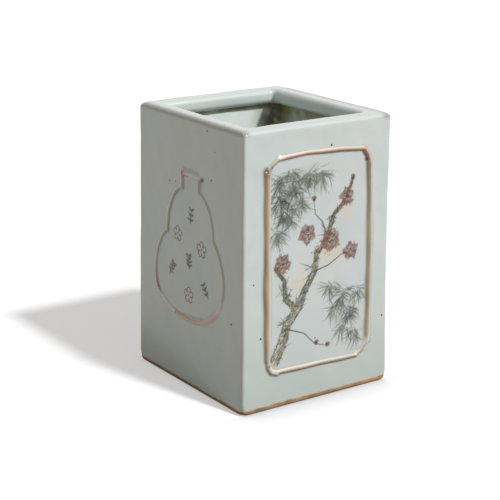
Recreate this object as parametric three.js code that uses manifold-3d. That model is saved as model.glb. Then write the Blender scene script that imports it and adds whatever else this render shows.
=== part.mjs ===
// A square porcelain brush pot, built as it is built from clay: four mitred wall slabs, a floor slab,
// a foot frame and an overhanging rim frame, luted together with slip, with coils pressed into the inner
// seams and rolled clay strips luted on as relief frames: a cut-corner panel on the front and the back,
// and a double gourd on the left and the right. Millimetres, +Z up, the panel face looks along -Y, and
// the origin is at the centre of the foot, on the surface that the pot stands on.
import * as THREE from "three";
import { mergeVertices } from "three/addons/utils/BufferGeometryUtils.js";
import Module from "manifold-3d";

const wasm = await Module();
wasm.setup();

// Body
const WIDTH = 101.5; // across the panel face, X
const DEPTH = 109; // across the gourd face, Y
const HEIGHT = 160;
const WALL = 8; // thickness of a wall slab
const FLOOR = 7; // thickness of the floor slab
const SEAM = 0.3; // slip layer between two luted pieces
const CORNER_RADIUS = 1.8; // upright outer corners
// Rim frame
const RIM_THICKNESS = 9;
const RIM_WIDTH = 12.5; // outer face to the mouth
const RIM_EDGE = 2.2; // rounding of the top outer edge
const MOUTH_RADIUS = 2; // corners of the mouth, seen from above
const MOUTH_EDGE = 3; // rounding of the mouth's upper and lower edges
// Foot frame
const FOOT_HEIGHT = 6;
const FOOT_WIDTH = 11; // outer face to the recess under the floor
const FOOT_EDGE = 1.4; // rounding of the lower outer edge
const RECESS_RADIUS = 3; // corners of the recess, seen from below
// Coils pressed into the inner seams
const COIL_LEG = 5; // how far a coil reaches along each of its two faces
const COIL_TIP = 0.6; // its thickness where it runs out
// Relief panel on the front and the back, by its strips' centre lines
const PANEL_SIDE = 15.3; // in from the pot's upright edges
const PANEL_TOP = 16.8; // down from the top of the rim
const PANEL_BOTTOM = 20.7; // up from the foot
const PANEL_CUT = 7; // how much of each side a cut corner takes
const PANEL_STRIP = 3.4; // width of a strip
const PANEL_RELIEF = 1.7; // height of a strip over the wall
// Relief gourd on the left and the right, by its strips' centre lines, heights above the foot
const GOURD_BOTTOM = 41.3;
const GOURD_LOWER = 69; // where the lower bulb is widest
const GOURD_LOWER_HALF = 35.2; // half its width there
const GOURD_WAIST = 91;
const GOURD_WAIST_HALF = 24;
const GOURD_SHOULDER = 118.8; // where the upper bulb ends
const GOURD_NECK_HALF = 9.3;
const GOURD_TOP = 126.7;
const GOURD_STRIP = 2.6; // width of a strip
const GOURD_RELIEF = 1.2; // height of a strip over the wall

// Facets
const CORNER_STEPS = 5;
const EDGE_STEPS = 4;
const SECTION_STEPS = 6;
const ARC_STEPS = 12; // along each quarter of a bulb

const wallBottom = FOOT_HEIGHT + SEAM;
const rimBottom = HEIGHT - RIM_THICKNESS;
const wallTop = rimBottom - SEAM;
const floorBottom = FOOT_HEIGHT + SEAM;
const floorTop = floorBottom + FLOOR;
const innerHalfX = WIDTH / 2 - WALL;
const innerHalfY = DEPTH / 2 - WALL;

const glaze = new THREE.MeshStandardMaterial({ color: 0xcdd5d3, roughness: 0.22, metalness: 0 });
const innerGlaze = new THREE.MeshStandardMaterial({ color: 0xbfc6bf, roughness: 0.3, metalness: 0 });
const bareClay = new THREE.MeshStandardMaterial({ color: 0xa87c54, roughness: 0.85, metalness: 0 });
const enamel = new THREE.MeshStandardMaterial({ color: 0xd3a98a, roughness: 0.3, metalness: 0 });

// A closed mesh as a solid that can be joined and cut.
function solidOf(geometry) {
  const bare = geometry.index ? geometry.toNonIndexed() : geometry.clone();
  bare.deleteAttribute("normal");
  bare.deleteAttribute("uv");
  const merged = mergeVertices(bare, 1e-4);
  return new wasm.Manifold(
    new wasm.Mesh({
      numProp: 3,
      vertProperties: new Float32Array(merged.attributes.position.array),
      triVerts: new Uint32Array(merged.index.array),
    }),
  );
}

function meshOf(name, solid, material) {
  const { numProp, vertProperties, triVerts } = solid.getMesh();
  const position = new Float32Array((vertProperties.length / numProp) * 3);
  for (let i = 0; i < position.length / 3; i++) {
    position.set(vertProperties.subarray(i * numProp, i * numProp + 3), i * 3);
  }
  const geometry = new THREE.BufferGeometry();
  geometry.setAttribute("position", new THREE.BufferAttribute(position, 3));
  geometry.setIndex(new THREE.BufferAttribute(triVerts, 1));
  geometry.computeVertexNormals();
  const mesh = new THREE.Mesh(geometry, material);
  mesh.name = name;
  return mesh;
}

// The corners of a rectangle with rounded corners, anticlockwise from above.
function roundedRectangle(halfX, halfY, radius) {
  const points = [];
  for (let corner = 0; corner < 4; corner++) {
    const signX = corner === 0 || corner === 3 ? 1 : -1;
    const signY = corner < 2 ? 1 : -1;
    for (let i = 0; i <= CORNER_STEPS; i++) {
      const angle = (corner + i / CORNER_STEPS) * (Math.PI / 2);
      points.push([
        signX * (halfX - radius) + radius * Math.cos(angle),
        signY * (halfY - radius) + radius * Math.sin(angle),
      ]);
    }
  }
  return points;
}

// A closed solid through rings of equally many points, each ring a list of [x, y, z].
function loft(rings) {
  const count = rings[0].length;
  const position = rings.flat(2);
  const index = [];
  for (let ring = 0; ring + 1 < rings.length; ring++) {
    for (let i = 0; i < count; i++) {
      const a = ring * count + i;
      const b = ring * count + ((i + 1) % count);
      index.push(a, b, b + count, a, b + count, a + count);
    }
  }
  const last = (rings.length - 1) * count;
  for (let i = 1; i + 1 < count; i++) {
    index.push(0, i + 1, i);
    index.push(last, last + i, last + i + 1);
  }
  const geometry = new THREE.BufferGeometry();
  geometry.setAttribute("position", new THREE.Float32BufferAttribute(position, 3));
  geometry.setIndex(index);
  return solidOf(geometry);
}

// Levels are [z, inset]: the pot's outline drawn in by the inset at each height.
function outline(levels) {
  const least = 0.2;
  return loft(
    levels.map(([z, inset]) =>
      roundedRectangle(WIDTH / 2 - inset, DEPTH / 2 - inset, Math.max(CORNER_RADIUS - inset, least)).map(
        ([x, y]) => [x, y, z],
      ),
    ),
  );
}

// A quarter round at an edge: [distance from the end face, inset], from the end face inwards.
function quarterRound(radius) {
  const steps = [];
  for (let i = 0; i <= EDGE_STEPS; i++) {
    const angle = (i / EDGE_STEPS) * (Math.PI / 2);
    steps.push([radius * (1 - Math.sin(angle)), radius * (1 - Math.cos(angle))]);
  }
  return steps.reverse();
}

function box(lowX, lowY, lowZ, highX, highY, highZ) {
  const geometry = new THREE.BoxGeometry(highX - lowX, highY - lowY, highZ - lowZ);
  geometry.translate((lowX + highX) / 2, (lowY + highY) / 2, (lowZ + highZ) / 2);
  return solidOf(geometry);
}

// A solid with upright sides over a closed outline of [x, y] points.
function prism(points, lowZ, highZ) {
  const shape = new THREE.Shape(points.map(([x, y]) => new THREE.Vector2(x, y)));
  const geometry = new THREE.ExtrudeGeometry(shape, { depth: highZ - lowZ, bevelEnabled: false });
  geometry.translate(0, 0, lowZ);
  return solidOf(geometry);
}

// The share of the hollow square that one wall slab keeps, between two mitres. faceHalf is half the
// slab's own width, normalHalf its face's distance from the centre. The slab looks along -Y.
function mitreWedge(faceHalf, normalHalf) {
  const beyond = 5;
  const inwards = WALL + 2;
  const slip = SEAM / Math.SQRT2;
  const outer = faceHalf + beyond - slip;
  const inner = faceHalf - inwards - slip;
  return prism(
    [
      [-outer, -normalHalf - beyond],
      [outer, -normalHalf - beyond],
      [inner, -normalHalf + inwards],
      [-inner, -normalHalf + inwards],
    ],
    wallBottom,
    wallTop,
  );
}

function hollowSquare() {
  const outside = outline([
    [wallBottom, 0],
    [wallTop, 0],
  ]);
  const inside = box(-innerHalfX, -innerHalfY, 0, innerHalfX, innerHalfY, HEIGHT);
  return outside.subtract(inside);
}

// The four sides of the pot: which way each turns from the front, and its half width and distance.
const sides = {
  front: { turn: 0, faceHalf: WIDTH / 2, normalHalf: DEPTH / 2 },
  right: { turn: 90, faceHalf: DEPTH / 2, normalHalf: WIDTH / 2 },
  back: { turn: 180, faceHalf: WIDTH / 2, normalHalf: DEPTH / 2 },
  left: { turn: -90, faceHalf: DEPTH / 2, normalHalf: WIDTH / 2 },
};

function walls() {
  const square = hollowSquare();
  return Object.entries(sides).map(([side, { turn, faceHalf, normalHalf }]) => {
    const wedge = mitreWedge(faceHalf, normalHalf).rotate([0, 0, turn]);
    return meshOf(side + "_wall", square.intersect(wedge), glaze);
  });
}

// The rim frame overhangs the walls inwards, and its mouth is rounded above and below.
function rimFrame() {
  const slab = outline([
    [rimBottom, 0],
    ...quarterRound(RIM_EDGE)
      .reverse()
      .map(([drop, inset]) => [HEIGHT - drop, inset]),
  ]);
  const beyond = 1;
  const edge = quarterRound(MOUTH_EDGE);
  const levels = [
    [rimBottom - beyond, MOUTH_EDGE],
    ...edge.map(([rise, out]) => [rimBottom + rise, out]),
    ...edge.toReversed().map(([drop, out]) => [HEIGHT - drop, out]),
    [HEIGHT + beyond, MOUTH_EDGE],
  ];
  const mouth = loft(
    levels.map(([z, out]) => {
      const halfX = WIDTH / 2 - RIM_WIDTH + out;
      const halfY = DEPTH / 2 - RIM_WIDTH + out;
      return roundedRectangle(halfX, halfY, MOUTH_RADIUS + out).map(([x, y]) => [x, y, z]);
    }),
  );
  return meshOf("rim_frame", slab.subtract(mouth), glaze);
}

function footFrame() {
  const slab = outline([...quarterRound(FOOT_EDGE), [FOOT_HEIGHT, 0]]);
  const beyond = 1;
  const hole = roundedRectangle(WIDTH / 2 - FOOT_WIDTH, DEPTH / 2 - FOOT_WIDTH, RECESS_RADIUS);
  const recess = loft([-beyond, FOOT_HEIGHT + beyond].map((z) => hole.map(([x, y]) => [x, y, z])));
  return meshOf("foot_frame", slab.subtract(recess), bareClay);
}

// The floor slab lies on the foot frame's inner ledge, between the four walls.
function floorSlab() {
  const halfX = innerHalfX - SEAM;
  const halfY = innerHalfY - SEAM;
  return meshOf("floor_slab", box(-halfX, -halfY, floorBottom, halfX, halfY, floorTop), innerGlaze);
}

// A coil's section: a right angle whose long side is hollowed to a quarter circle.
function coilSection() {
  const points = [
    [0, 0],
    [COIL_LEG, 0],
  ];
  const radius = COIL_LEG - COIL_TIP;
  for (let i = 0; i <= CORNER_STEPS; i++) {
    const angle = (i / CORNER_STEPS) * (Math.PI / 2);
    points.push([COIL_LEG - radius * Math.sin(angle), COIL_LEG - radius * Math.cos(angle)]);
  }
  points.push([0, COIL_LEG]);
  return points;
}

// Upright coils in the four inner corners, from the floor to the underside of the rim.
function cornerCoils() {
  const low = floorTop + SEAM;
  const high = wallTop;
  return [
    ["front_left", 0, -1, -1],
    ["front_right", 90, 1, -1],
    ["back_right", 180, 1, 1],
    ["back_left", 270, -1, 1],
  ].map(([corner, turn, signX, signY]) => {
    const coil = prism(coilSection(), low, high)
      .rotate([0, 0, turn])
      .translate([signX * (innerHalfX - SEAM), signY * (innerHalfY - SEAM), 0]);
    return meshOf("corner_coil_" + corner, coil, innerGlaze);
  });
}

// Level coils along the four floor seams, each between two upright ones.
function floorCoils() {
  return Object.entries(sides).map(([side, { turn, faceHalf, normalHalf }]) => {
    const half = faceHalf - WALL - SEAM - COIL_LEG - SEAM;
    const coil = prism(coilSection(), -half, half)
      .rotate([90, 0, 90])
      .translate([0, -(normalHalf - WALL - SEAM), floorTop + SEAM])
      .rotate([0, 0, turn]);
    return meshOf("floor_coil_" + side, coil, innerGlaze);
  });
}

// A rolled strip of clay laid on a face that looks along -Y: a half oval section swept along the points
// [right, up]. The first and the last point only give the directions of its neighbours, so that its ends
// are cut on the mitre, half a slip layer short of them.
function strip(points, width, relief) {
  const path = points.map(([right, up]) => new THREE.Vector2(right, up));
  const rings = [];
  for (let i = 1; i + 1 < path.length; i++) {
    const before = path[i].clone().sub(path[i - 1]).normalize();
    const after = path[i + 1].clone().sub(path[i]).normalize();
    const along = before.clone().add(after).normalize();
    const stretch = 1 / along.dot(after);
    const centre = path[i].clone();
    if (i === 1) centre.addScaledVector(after, (SEAM / 2) * stretch);
    if (i + 2 === path.length) centre.addScaledVector(before, (-SEAM / 2) * stretch);
    const ring = [];
    for (let step = 0; step <= SECTION_STEPS; step++) {
      const angle = (step / SECTION_STEPS) * Math.PI;
      const across = (-width / 2) * stretch * Math.cos(angle);
      ring.push([centre.x + along.y * across, -SEAM - relief * Math.sin(angle), centre.y - along.x * across]);
    }
    rings.push(ring);
  }
  return loft(rings);
}

// Cuts a closed line of corners into strips at the given corners, and places them on a side of the pot.
// Cuts is a list of [name, index of the corner where the strip starts].
function reliefFrame(side, corners, cuts, width, relief) {
  const { turn, normalHalf } = sides[side];
  const at = (i) => corners[(i + corners.length) % corners.length];
  return cuts.map(([name, first], cut) => {
    const last = cut + 1 < cuts.length ? cuts[cut + 1][1] : cuts[0][1] + corners.length;
    const points = [];
    for (let i = first - 1; i <= last + 1; i++) points.push(at(i));
    const solid = strip(points, width, relief).translate([0, -normalHalf, 0]).rotate([0, 0, turn]);
    return meshOf(side + "_" + name, solid, enamel);
  });
}

// Four long strips and a short one across each cut corner.
function panelFrame(side) {
  const half = WIDTH / 2 - PANEL_SIDE;
  const short = half - PANEL_CUT;
  const top = HEIGHT - PANEL_TOP;
  const corners = [
    [half, PANEL_BOTTOM + PANEL_CUT],
    [half, top - PANEL_CUT],
    [short, top],
    [-short, top],
    [-half, top - PANEL_CUT],
    [-half, PANEL_BOTTOM + PANEL_CUT],
    [-short, PANEL_BOTTOM],
    [short, PANEL_BOTTOM],
  ];
  const places = ["right", "top_right", "top", "top_left", "left", "bottom_left", "bottom", "bottom_right"];
  const cuts = places.map((place, i) => ["panel_" + place + "_strip", i]);
  return reliefFrame(side, corners, cuts, PANEL_STRIP, PANEL_RELIEF);
}

// A part of a quarter oval about a centre on the gourd's axis: it starts at the level of the centre, where
// it is widest, and ends at a level where its half width is lastHalf.
function ovalArc(centre, widestHalf, level, lastHalf) {
  const lastAngle = Math.acos(lastHalf / widestHalf);
  const reach = (level - centre) / Math.sin(lastAngle);
  const points = [];
  for (let i = 0; i <= ARC_STEPS; i++) {
    const angle = (i / ARC_STEPS) * lastAngle;
    points.push([widestHalf * Math.cos(angle), centre + reach * Math.sin(angle)]);
  }
  return points;
}

// One strip for the lower bulb, one for each side of the upper bulb and of the neck, and one for the lip.
function gourdFrame(side) {
  const belly = ovalArc(GOURD_LOWER, GOURD_LOWER_HALF, GOURD_BOTTOM, 0).toReversed();
  const lower = [...belly, ...ovalArc(GOURD_LOWER, GOURD_LOWER_HALF, GOURD_WAIST, GOURD_WAIST_HALF).slice(1)];
  const upper = ovalArc(GOURD_WAIST, GOURD_WAIST_HALF, GOURD_SHOULDER, GOURD_NECK_HALF).slice(1);
  const right = [...lower, ...upper, [GOURD_NECK_HALF, GOURD_TOP]];
  const left = right
    .slice(1)
    .reverse()
    .map(([x, z]) => [-x, z]);
  const corners = [...right, ...left];
  const waist = lower.length - 1;
  const shoulder = waist + upper.length;
  const lip = shoulder + 1;
  const mirrored = (i) => corners.length - i;
  const cuts = [
    ["gourd_upper_bulb_right", waist],
    ["gourd_neck_right", shoulder],
    ["gourd_lip", lip],
    ["gourd_neck_left", mirrored(lip)],
    ["gourd_upper_bulb_left", mirrored(shoulder)],
    ["gourd_lower_bulb", mirrored(waist)],
  ];
  return reliefFrame(side, corners, cuts, GOURD_STRIP, GOURD_RELIEF);
}

const pot = new THREE.Group();
pot.name = "brush_pot";
pot.add(...walls(), floorSlab(), rimFrame(), footFrame());
pot.add(...cornerCoils(), ...floorCoils());
pot.add(...panelFrame("front"), ...panelFrame("back"));
pot.add(...gourdFrame("left"), ...gourdFrame("right"));

export default pot;
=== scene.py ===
# A square porcelain brush pot: pale blue-grey glaze, relief frames of clay strips in worn enamel, a
# painted spray on each framed panel, small marks in each gourd, and a bare clay foot. Lengths are in
# millimetres until a mesh is made. On a side of the pot, across runs to the right as seen from
# outside and up is the height above the ground.
import math

import bmesh
import bpy
import numpy as np
from mathutils import Matrix, Vector


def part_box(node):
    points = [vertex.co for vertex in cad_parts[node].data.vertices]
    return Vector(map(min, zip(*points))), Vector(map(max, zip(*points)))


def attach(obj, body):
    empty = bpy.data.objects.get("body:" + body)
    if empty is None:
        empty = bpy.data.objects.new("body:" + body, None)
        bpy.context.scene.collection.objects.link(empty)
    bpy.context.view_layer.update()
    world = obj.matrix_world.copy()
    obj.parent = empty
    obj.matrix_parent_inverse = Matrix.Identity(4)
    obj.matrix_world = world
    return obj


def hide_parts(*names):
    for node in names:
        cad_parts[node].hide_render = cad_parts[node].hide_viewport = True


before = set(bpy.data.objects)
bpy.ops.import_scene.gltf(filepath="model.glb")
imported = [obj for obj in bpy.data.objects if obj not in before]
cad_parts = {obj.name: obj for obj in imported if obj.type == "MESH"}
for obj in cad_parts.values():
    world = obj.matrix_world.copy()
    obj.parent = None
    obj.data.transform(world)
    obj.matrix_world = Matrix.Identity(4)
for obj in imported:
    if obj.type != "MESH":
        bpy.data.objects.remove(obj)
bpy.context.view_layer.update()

MM = 0.001


def box_of(node):
    """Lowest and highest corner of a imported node, in millimetres."""
    low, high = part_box(node)
    return np.array(low) / MM, np.array(high) / MM


# The pot's sizes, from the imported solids
_, foot_high = box_of("foot_frame")
rim_low, rim_high = box_of("rim_frame")
front_low, front_high = box_of("front_wall")
_, left_high = box_of("left_wall")
slab_low, slab_high = box_of("floor_slab")
HALF_X, HALF_Y, HEIGHT = foot_high[0], foot_high[1], rim_high[2]
INNER_X, INNER_Y = -left_high[0], -front_high[1]
FOOT_SEAM = (foot_high[2] + front_low[2]) / 2
RIM_SEAM = (front_high[2] + rim_low[2]) / 2
RIM_LOW = rim_low[2]
FLOOR_TOP = slab_high[2]

# Shape that the hand and the kiln gave it
LEAN = 0.8  # the faces at the foot stand this far outside those at mid height
LEFT_PULL = 0.5  # how far the left face is drawn in
TOP_FLARE = 1.2  # how far the right face opens at the rim
TOP_FLARE_FROM, TOP_FLARE_RUN = 80, 75  # the height where it starts to, and how far it takes
RIGHT_HOLLOW = 0.45  # how far the right face is drawn in
HOLLOW_AT, HOLLOW_HALF = 78, 22  # the middle height of that, and how far it reaches up and down
FOOT_FLARE = 0.5  # how far the right face opens at the foot
FOOT_FLARE_FROM, FOOT_FLARE_TO = 30, 5  # the heights between which it does
SIDE_FROM, SIDE_TO = 40, 50  # what lies this far aside moves with the left or the right face
CORNER_RADIUS = 1.6  # of the pot's upright edges
CORNER_SOFTENING = 1.3  # the plan's corner radius grows by this share of a rounding's inset
RIM_WIDTH = 12.5
RIM_EDGE = 2.5  # rounding of the rim's outer edge
RIM_WEAR = 0.5  # the far edges of the rim are worn this much lower
RIM_SAG = 0.35  # the left side of the rim lies this much lower
MOUTH_EDGE = 3.2  # rounding of the lip's upper edge
MOUTH_UNDERSIDE = 3.7  # rounding of its lower edge
MOUTH_RADIUS = 2.2  # of the mouth's corners
FOOT_WIDTH = 11
FOOT_EDGE = 1.7  # rounding of the foot's outer edge
FOOT_CORNER = 2.2  # the plan's corner radius grows by this down to the ground
RECESS_RADIUS = 3  # of the corners of the recess inside the foot
RECESS_EDGE = 1.0  # rounding of its edge
LEVEL_SWAY = 0.4  # level surfaces are uneven by this share of what upright ones are

# Relief frames
STRIP_REACH = 1.35  # a strip's piece ends this many half widths from its centre line
FILLET = 0.4  # softening where glaze pools against a strip
PANEL_HALF_WIDTH = 1.75
PANEL_RELIEF = 1.65
GOURD_HALF_WIDTH = 1.4
GOURD_RELIEF = 0.75
STRIP_ROOT = 1.0  # a strip's piece reaches this far into the wall
HIDDEN_DROP = 0.4  # the wall under a strip lies this far below the face

# Grids on the walls: their steps, and where they are fine, across and then up
PANEL_STEP = 0.39
PANEL_FINE = (-39.8, 40.6, 16, 148)
GOURD_STEP = 0.46
GOURD_FINE = (-39.5, 39.5, 37, 131.5)
COARSE_STEP = 2.0
CORNER_MARGIN = 0.6  # the flat columns end this far before the corner's curve
CORNER_ANGLES = np.radians([5, 13, 21, 29, 37, 45])
SPARE_ANGLE = math.radians(53)  # of a column that only the normals need
EVERYWHERE = (slice(None), slice(None))

# The camera, as fitted to the pot's corners
VIEW_AZIMUTH = math.radians(-34.86)
VIEW_ELEVATION = math.radians(16.55)
VIEW_ROLL = math.radians(0.34)
VIEW_DISTANCE = 834.2
VIEW_ASIDE, VIEW_UP = -6.54, -5.17
FOCAL_PIXELS = 1421.3
PICTURE_PIXELS = 500
SENSOR = 36.0

# Light
KEY_FROM = Vector((0.33, -0.62, 0.71))
FLOOR_KEY_FROM = Vector((0.2, -0.78, 1))  # the shadow on the floor falls from here
KEY_STRENGTH = 3.1
KEY_SOFTNESS = math.radians(5)
ROOM_STRENGTH = 0.375
ROOM_COLOUR = (1.0, 0.945, 0.835)
FLOOR_HALF = 30000  # half the floor's side
FLOOR_DROP = 0.1  # it lies this far below the foot, so that the two don't meet
FLOOR_SHOWN = (0.56, 0.566, 0.588)  # how much light the floor returns to the camera, besides its own glow
FLOOR_GLOW = 0.408
FLOOR_BOUNCE = (0.30, 0.285, 0.255)  # what it returns to the pot
CONTACT_REACH = 34  # the floor is shaded this far in front of the foot
CONTACT_SHADE = 0.75  # the share of its glow that it loses there

rng = np.random.default_rng(11)


def waves(count, shortest, longest, height, dimensions):
    """Random slow waves: their courses, phases and heights."""
    courses = rng.normal(size=(count, dimensions))
    courses /= np.linalg.norm(courses, axis=1, keepdims=True)
    courses *= (2 * math.pi / rng.uniform(shortest, longest, count))[:, None]
    return list(zip(courses, rng.uniform(0, 2 * math.pi, count), np.full(count, height)))


def swell(points, made_of):
    """The sum of waves at points, whose last axis holds their coordinates."""
    return sum(height * np.sin(points @ course + phase) for course, phase, height in made_of)


# Unevenness of the body, the dents that fingers press in it, and the wander of the relief's lines
BODY_WAVES = waves(9, 34, 95, 0.075, 3)
PRESS_WAVES = waves(8, 9, 24, 0.018, 3)
LINE_WAVES = waves(6, 14, 40, 0.09, 2)


def sway(points):
    """How far the hand-made surface stands out of true."""
    return swell(points, BODY_WAVES) + swell(points, PRESS_WAVES)


def step_between(low, high, value):
    """Goes smoothly from 0 at low to 1 at high, which may be the smaller."""
    share = np.clip((value - low) / (high - low), 0, 1)
    return share * share * (3 - 2 * share)


def lean(height):
    return LEAN * (1 - 2 * height / HEIGHT)


def settle(points):
    """Moves the left and right faces as the kiln did."""
    x, z = points[..., 0], points[..., 2]
    flare = TOP_FLARE * np.clip((z - TOP_FLARE_FROM) / TOP_FLARE_RUN, 0, None) ** 2
    flare = flare + FOOT_FLARE * step_between(FOOT_FLARE_FROM, FOOT_FLARE_TO, z)
    hollow = RIGHT_HOLLOW * np.exp(-(((z - HOLLOW_AT) / HOLLOW_HALF) ** 2))
    moved = points.copy()
    moved[..., 0] += LEFT_PULL * step_between(SIDE_FROM, SIDE_TO, -x)
    moved[..., 0] += (flare - hollow) * step_between(SIDE_FROM, SIDE_TO, x)
    return moved


def turned(points, degrees):
    """Points turned about the upright axis."""
    cosine, sine = math.cos(math.radians(degrees)), math.sin(math.radians(degrees))
    x, y, z = points[..., 0], points[..., 1], points[..., 2]
    return np.stack([x * cosine - y * sine, x * sine + y * cosine, z], axis=-1)


# Paint


def srgb(red, green, blue):
    """A colour given 0 to 255, as linear light."""
    shares = np.array([red, green, blue]) / 255
    return np.where(shares <= 0.04045, shares / 12.92, ((shares + 0.055) / 1.055) ** 2.4)


LATTICE = 64  # the grain repeats after this many features
LATTICE_SHIFT = 200.5  # keeps the places on it positive


def grain(across, up, size, seed):
    """Smooth noise from 0 to 1 with features of a size."""
    lattice = np.random.default_rng(seed).random((LATTICE, LATTICE))
    x, y = across / size + LATTICE_SHIFT, up / size + LATTICE_SHIFT
    left, low = np.floor(x).astype(int), np.floor(y).astype(int)
    right_share, upper_share = step_between(0, 1, x - left), step_between(0, 1, y - low)

    def row(shift):
        first = lattice[(low + shift) % LATTICE, left % LATTICE]
        second = lattice[(low + shift) % LATTICE, (left + 1) % LATTICE]
        return first * (1 - right_share) + second * right_share

    return row(0) * (1 - upper_share) + row(1) * upper_share


class Canvas:
    """Paint on one side of the pot, kept where the wall's columns and rows cross."""

    def __init__(self, across, up):
        self.across, self.up = across, up
        self.colour = np.zeros((len(up), len(across), 3))
        self.cover = np.zeros((len(up), len(across)))

    def crossings(self):
        return np.meshgrid(self.across, self.up)

    def window(self, low, high):
        """The crossings between two corners: where they are in the grid, and their coordinates."""
        columns = slice(*np.searchsorted(self.across, [low[0], high[0]]))
        rows = slice(*np.searchsorted(self.up, [low[1], high[1]]))
        across, up = np.meshgrid(self.across[columns], self.up[rows])
        return (rows, columns), across, up

    def lay(self, where, colour, amount):
        """Lays a colour over what is there, by an amount from 0 to 1 at each crossing."""
        amount = np.clip(amount, 0, 1)
        self.colour[where] = colour * amount[..., None] + self.colour[where] * (1 - amount[..., None])
        self.cover[where] = amount + self.cover[where] * (1 - amount)

    def stroke(self, line, widths, colour, strength=0.8, dry=0.0, soft=0.4):
        """A brush stroke along a line of points, with a width at each. A dry brush leaves gaps."""
        line, widths = np.asarray(line, float), np.asarray(widths, float)
        margin = widths.max() / 2 + soft
        where, across, up = self.window(line.min(0) - margin, line.max(0) + margin)
        if across.size == 0:
            return
        reach = np.full(across.shape, -np.inf)
        for (x, z), (next_x, next_z), width, next_width in zip(line[:-1], line[1:], widths[:-1], widths[1:]):
            length = max(math.hypot(next_x - x, next_z - z), 1e-6)
            run = ((across - x) * (next_x - x) + (up - z) * (next_z - z)) / length**2
            run = np.clip(run, 0, 1)
            away = np.hypot(across - x - run * (next_x - x), up - z - run * (next_z - z))
            reach = np.maximum(reach, (width + run * (next_width - width)) / 2 - away)
        amount = strength * np.clip(0.5 + reach / soft, 0, 1)
        if dry:
            streaks = grain(across, up, 0.7, 3) + 0.3 * grain(across, up, 2.6, 5)
            amount = amount * step_between(dry - 0.25, dry + 0.2, streaks)
        self.lay(where, colour, amount)

    def spot(self, across, up, radius, colour, middle, edge, soft=0.5, ragged=0.0):
        """A round touch whose strength goes from middle to edge."""
        reach = radius / (1 - ragged) + soft
        where, x, z = self.window((across - reach, up - reach), (across + reach, up + reach))
        if x.size == 0:
            return
        away = np.hypot(x - across, z - up)
        if ragged:
            away = away * (1 + ragged * (grain(x, z, radius * 0.5, 9) - 0.5) * 2)
        strength = middle + (edge - middle) * np.clip(away / radius, 0, 1) ** 2
        self.lay(where, colour, strength * np.clip(0.5 + (radius - away) / soft, 0, 1))


INK = srgb(30, 34, 31)
SOFT_INK = srgb(78, 84, 80)
LEAF_GREEN = srgb(92, 102, 84)
LEAF_OLIVE = srgb(116, 110, 80)
LEAF_BLUE = srgb(104, 116, 122)
LEAF_PALE = srgb(150, 160, 154)
WASH = srgb(164, 176, 170)
BARK = srgb(190, 186, 168)
BARK_SHADE = srgb(146, 142, 118)
BARK_DARK = srgb(72, 66, 52)
RUST = srgb(124, 76, 58)
RUST_DARK = srgb(100, 54, 44)
RUST_DEEP = srgb(66, 42, 32)
RUST_PALE = srgb(178, 142, 118)
BLUSH = srgb(208, 198, 182)
VIOLET = srgb(84, 86, 144)
DARK_RED = srgb(112, 40, 44)


def along(line, share):
    """The point a share of the way along a line, counted by its points."""
    place = share * (len(line) - 1)
    return [np.interp(place, range(len(line)), [point[axis] for point in line]) for axis in (0, 1)]


def bamboo_leaf(canvas, base, heading, length, width, colour, strength):
    """One press of the brush: a slim leaf that starts thin, swells and ends in a point."""
    bend = rng.uniform(-0.35, 0.35)
    line = []
    for share in (0, 0.2, 0.45, 0.7, 0.88, 1):
        angle = heading + bend * share
        line.append((base[0] + length * share * math.cos(angle), base[1] + length * share * math.sin(angle)))
    swelling = np.array([0.25, 0.85, 1, 0.75, 0.4, 0.1]) * width
    canvas.stroke(line, swelling, colour, strength, dry=0.15)


def leaf_spray(canvas, root, heading, spread, count, length, colours):
    """Leaves that hang in a fan from one point."""
    for _ in range(count):
        angle = heading + spread * rng.normal() * 0.5
        start = (root[0] + rng.normal() * 1.4, root[1] + rng.normal() * 1.4)
        reach = length * rng.uniform(0.5, 1.1)
        colour = colours[rng.integers(len(colours))]
        bamboo_leaf(canvas, start, angle, reach, rng.uniform(0.4, 0.8), colour, rng.uniform(0.5, 1.0))


def blossom(canvas, middle, radius):
    """A plum blossom from above: five petals of dry touches over a thin wash, and stamens in ink."""
    turn = rng.uniform(0, 2 * math.pi)
    for petal in range(5):
        angle = turn + petal * 2 * math.pi / 5
        way = np.array([math.cos(angle), math.sin(angle)])
        centre = np.array(middle) + 0.56 * radius * way
        canvas.spot(*centre, 0.48 * radius, RUST, 0.55, 0.8, soft=0.8, ragged=0.4)
        for _ in range(26):
            spread = rng.uniform(0, 2 * math.pi)
            reach = 0.44 * radius * math.sqrt(rng.uniform(0, 1))
            start = centre + reach * np.array([math.cos(spread), math.sin(spread)])
            end = start + way * rng.uniform(0.3, 1.1)
            shade = (RUST_DEEP, LEAF_OLIVE, INK, RUST_DEEP, RUST_DEEP, RUST_PALE)[rng.integers(6)]
            canvas.stroke([start, end], [0.5, 0.3], shade, rng.uniform(0.5, 0.9))
    for _ in range(12):
        angle = rng.uniform(0, 2 * math.pi)
        reach = radius * rng.uniform(0.2, 0.42)
        tip = (middle[0] + reach * math.cos(angle), middle[1] + reach * math.sin(angle))
        canvas.stroke([middle, tip], [0.3, 0.2], INK, 0.8)
        canvas.spot(*tip, 0.3, BLUSH, 0.7, 0.5)


def bud(canvas, middle, heading):
    """A closed blossom on its calyx."""
    canvas.spot(*middle, 1.5, RUST, 0.8, 0.95, ragged=0.2)
    for turn in (-0.5, 0, 0.5):
        angle = heading + turn
        tip = (middle[0] - 1.7 * math.cos(angle), middle[1] - 1.7 * math.sin(angle))
        canvas.stroke([middle, tip], [0.7, 0.3], RUST_DEEP, 0.9)


BARK_TOUCH_STEP = 0.13  # from one touch of bark to the next along a branch


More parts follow.
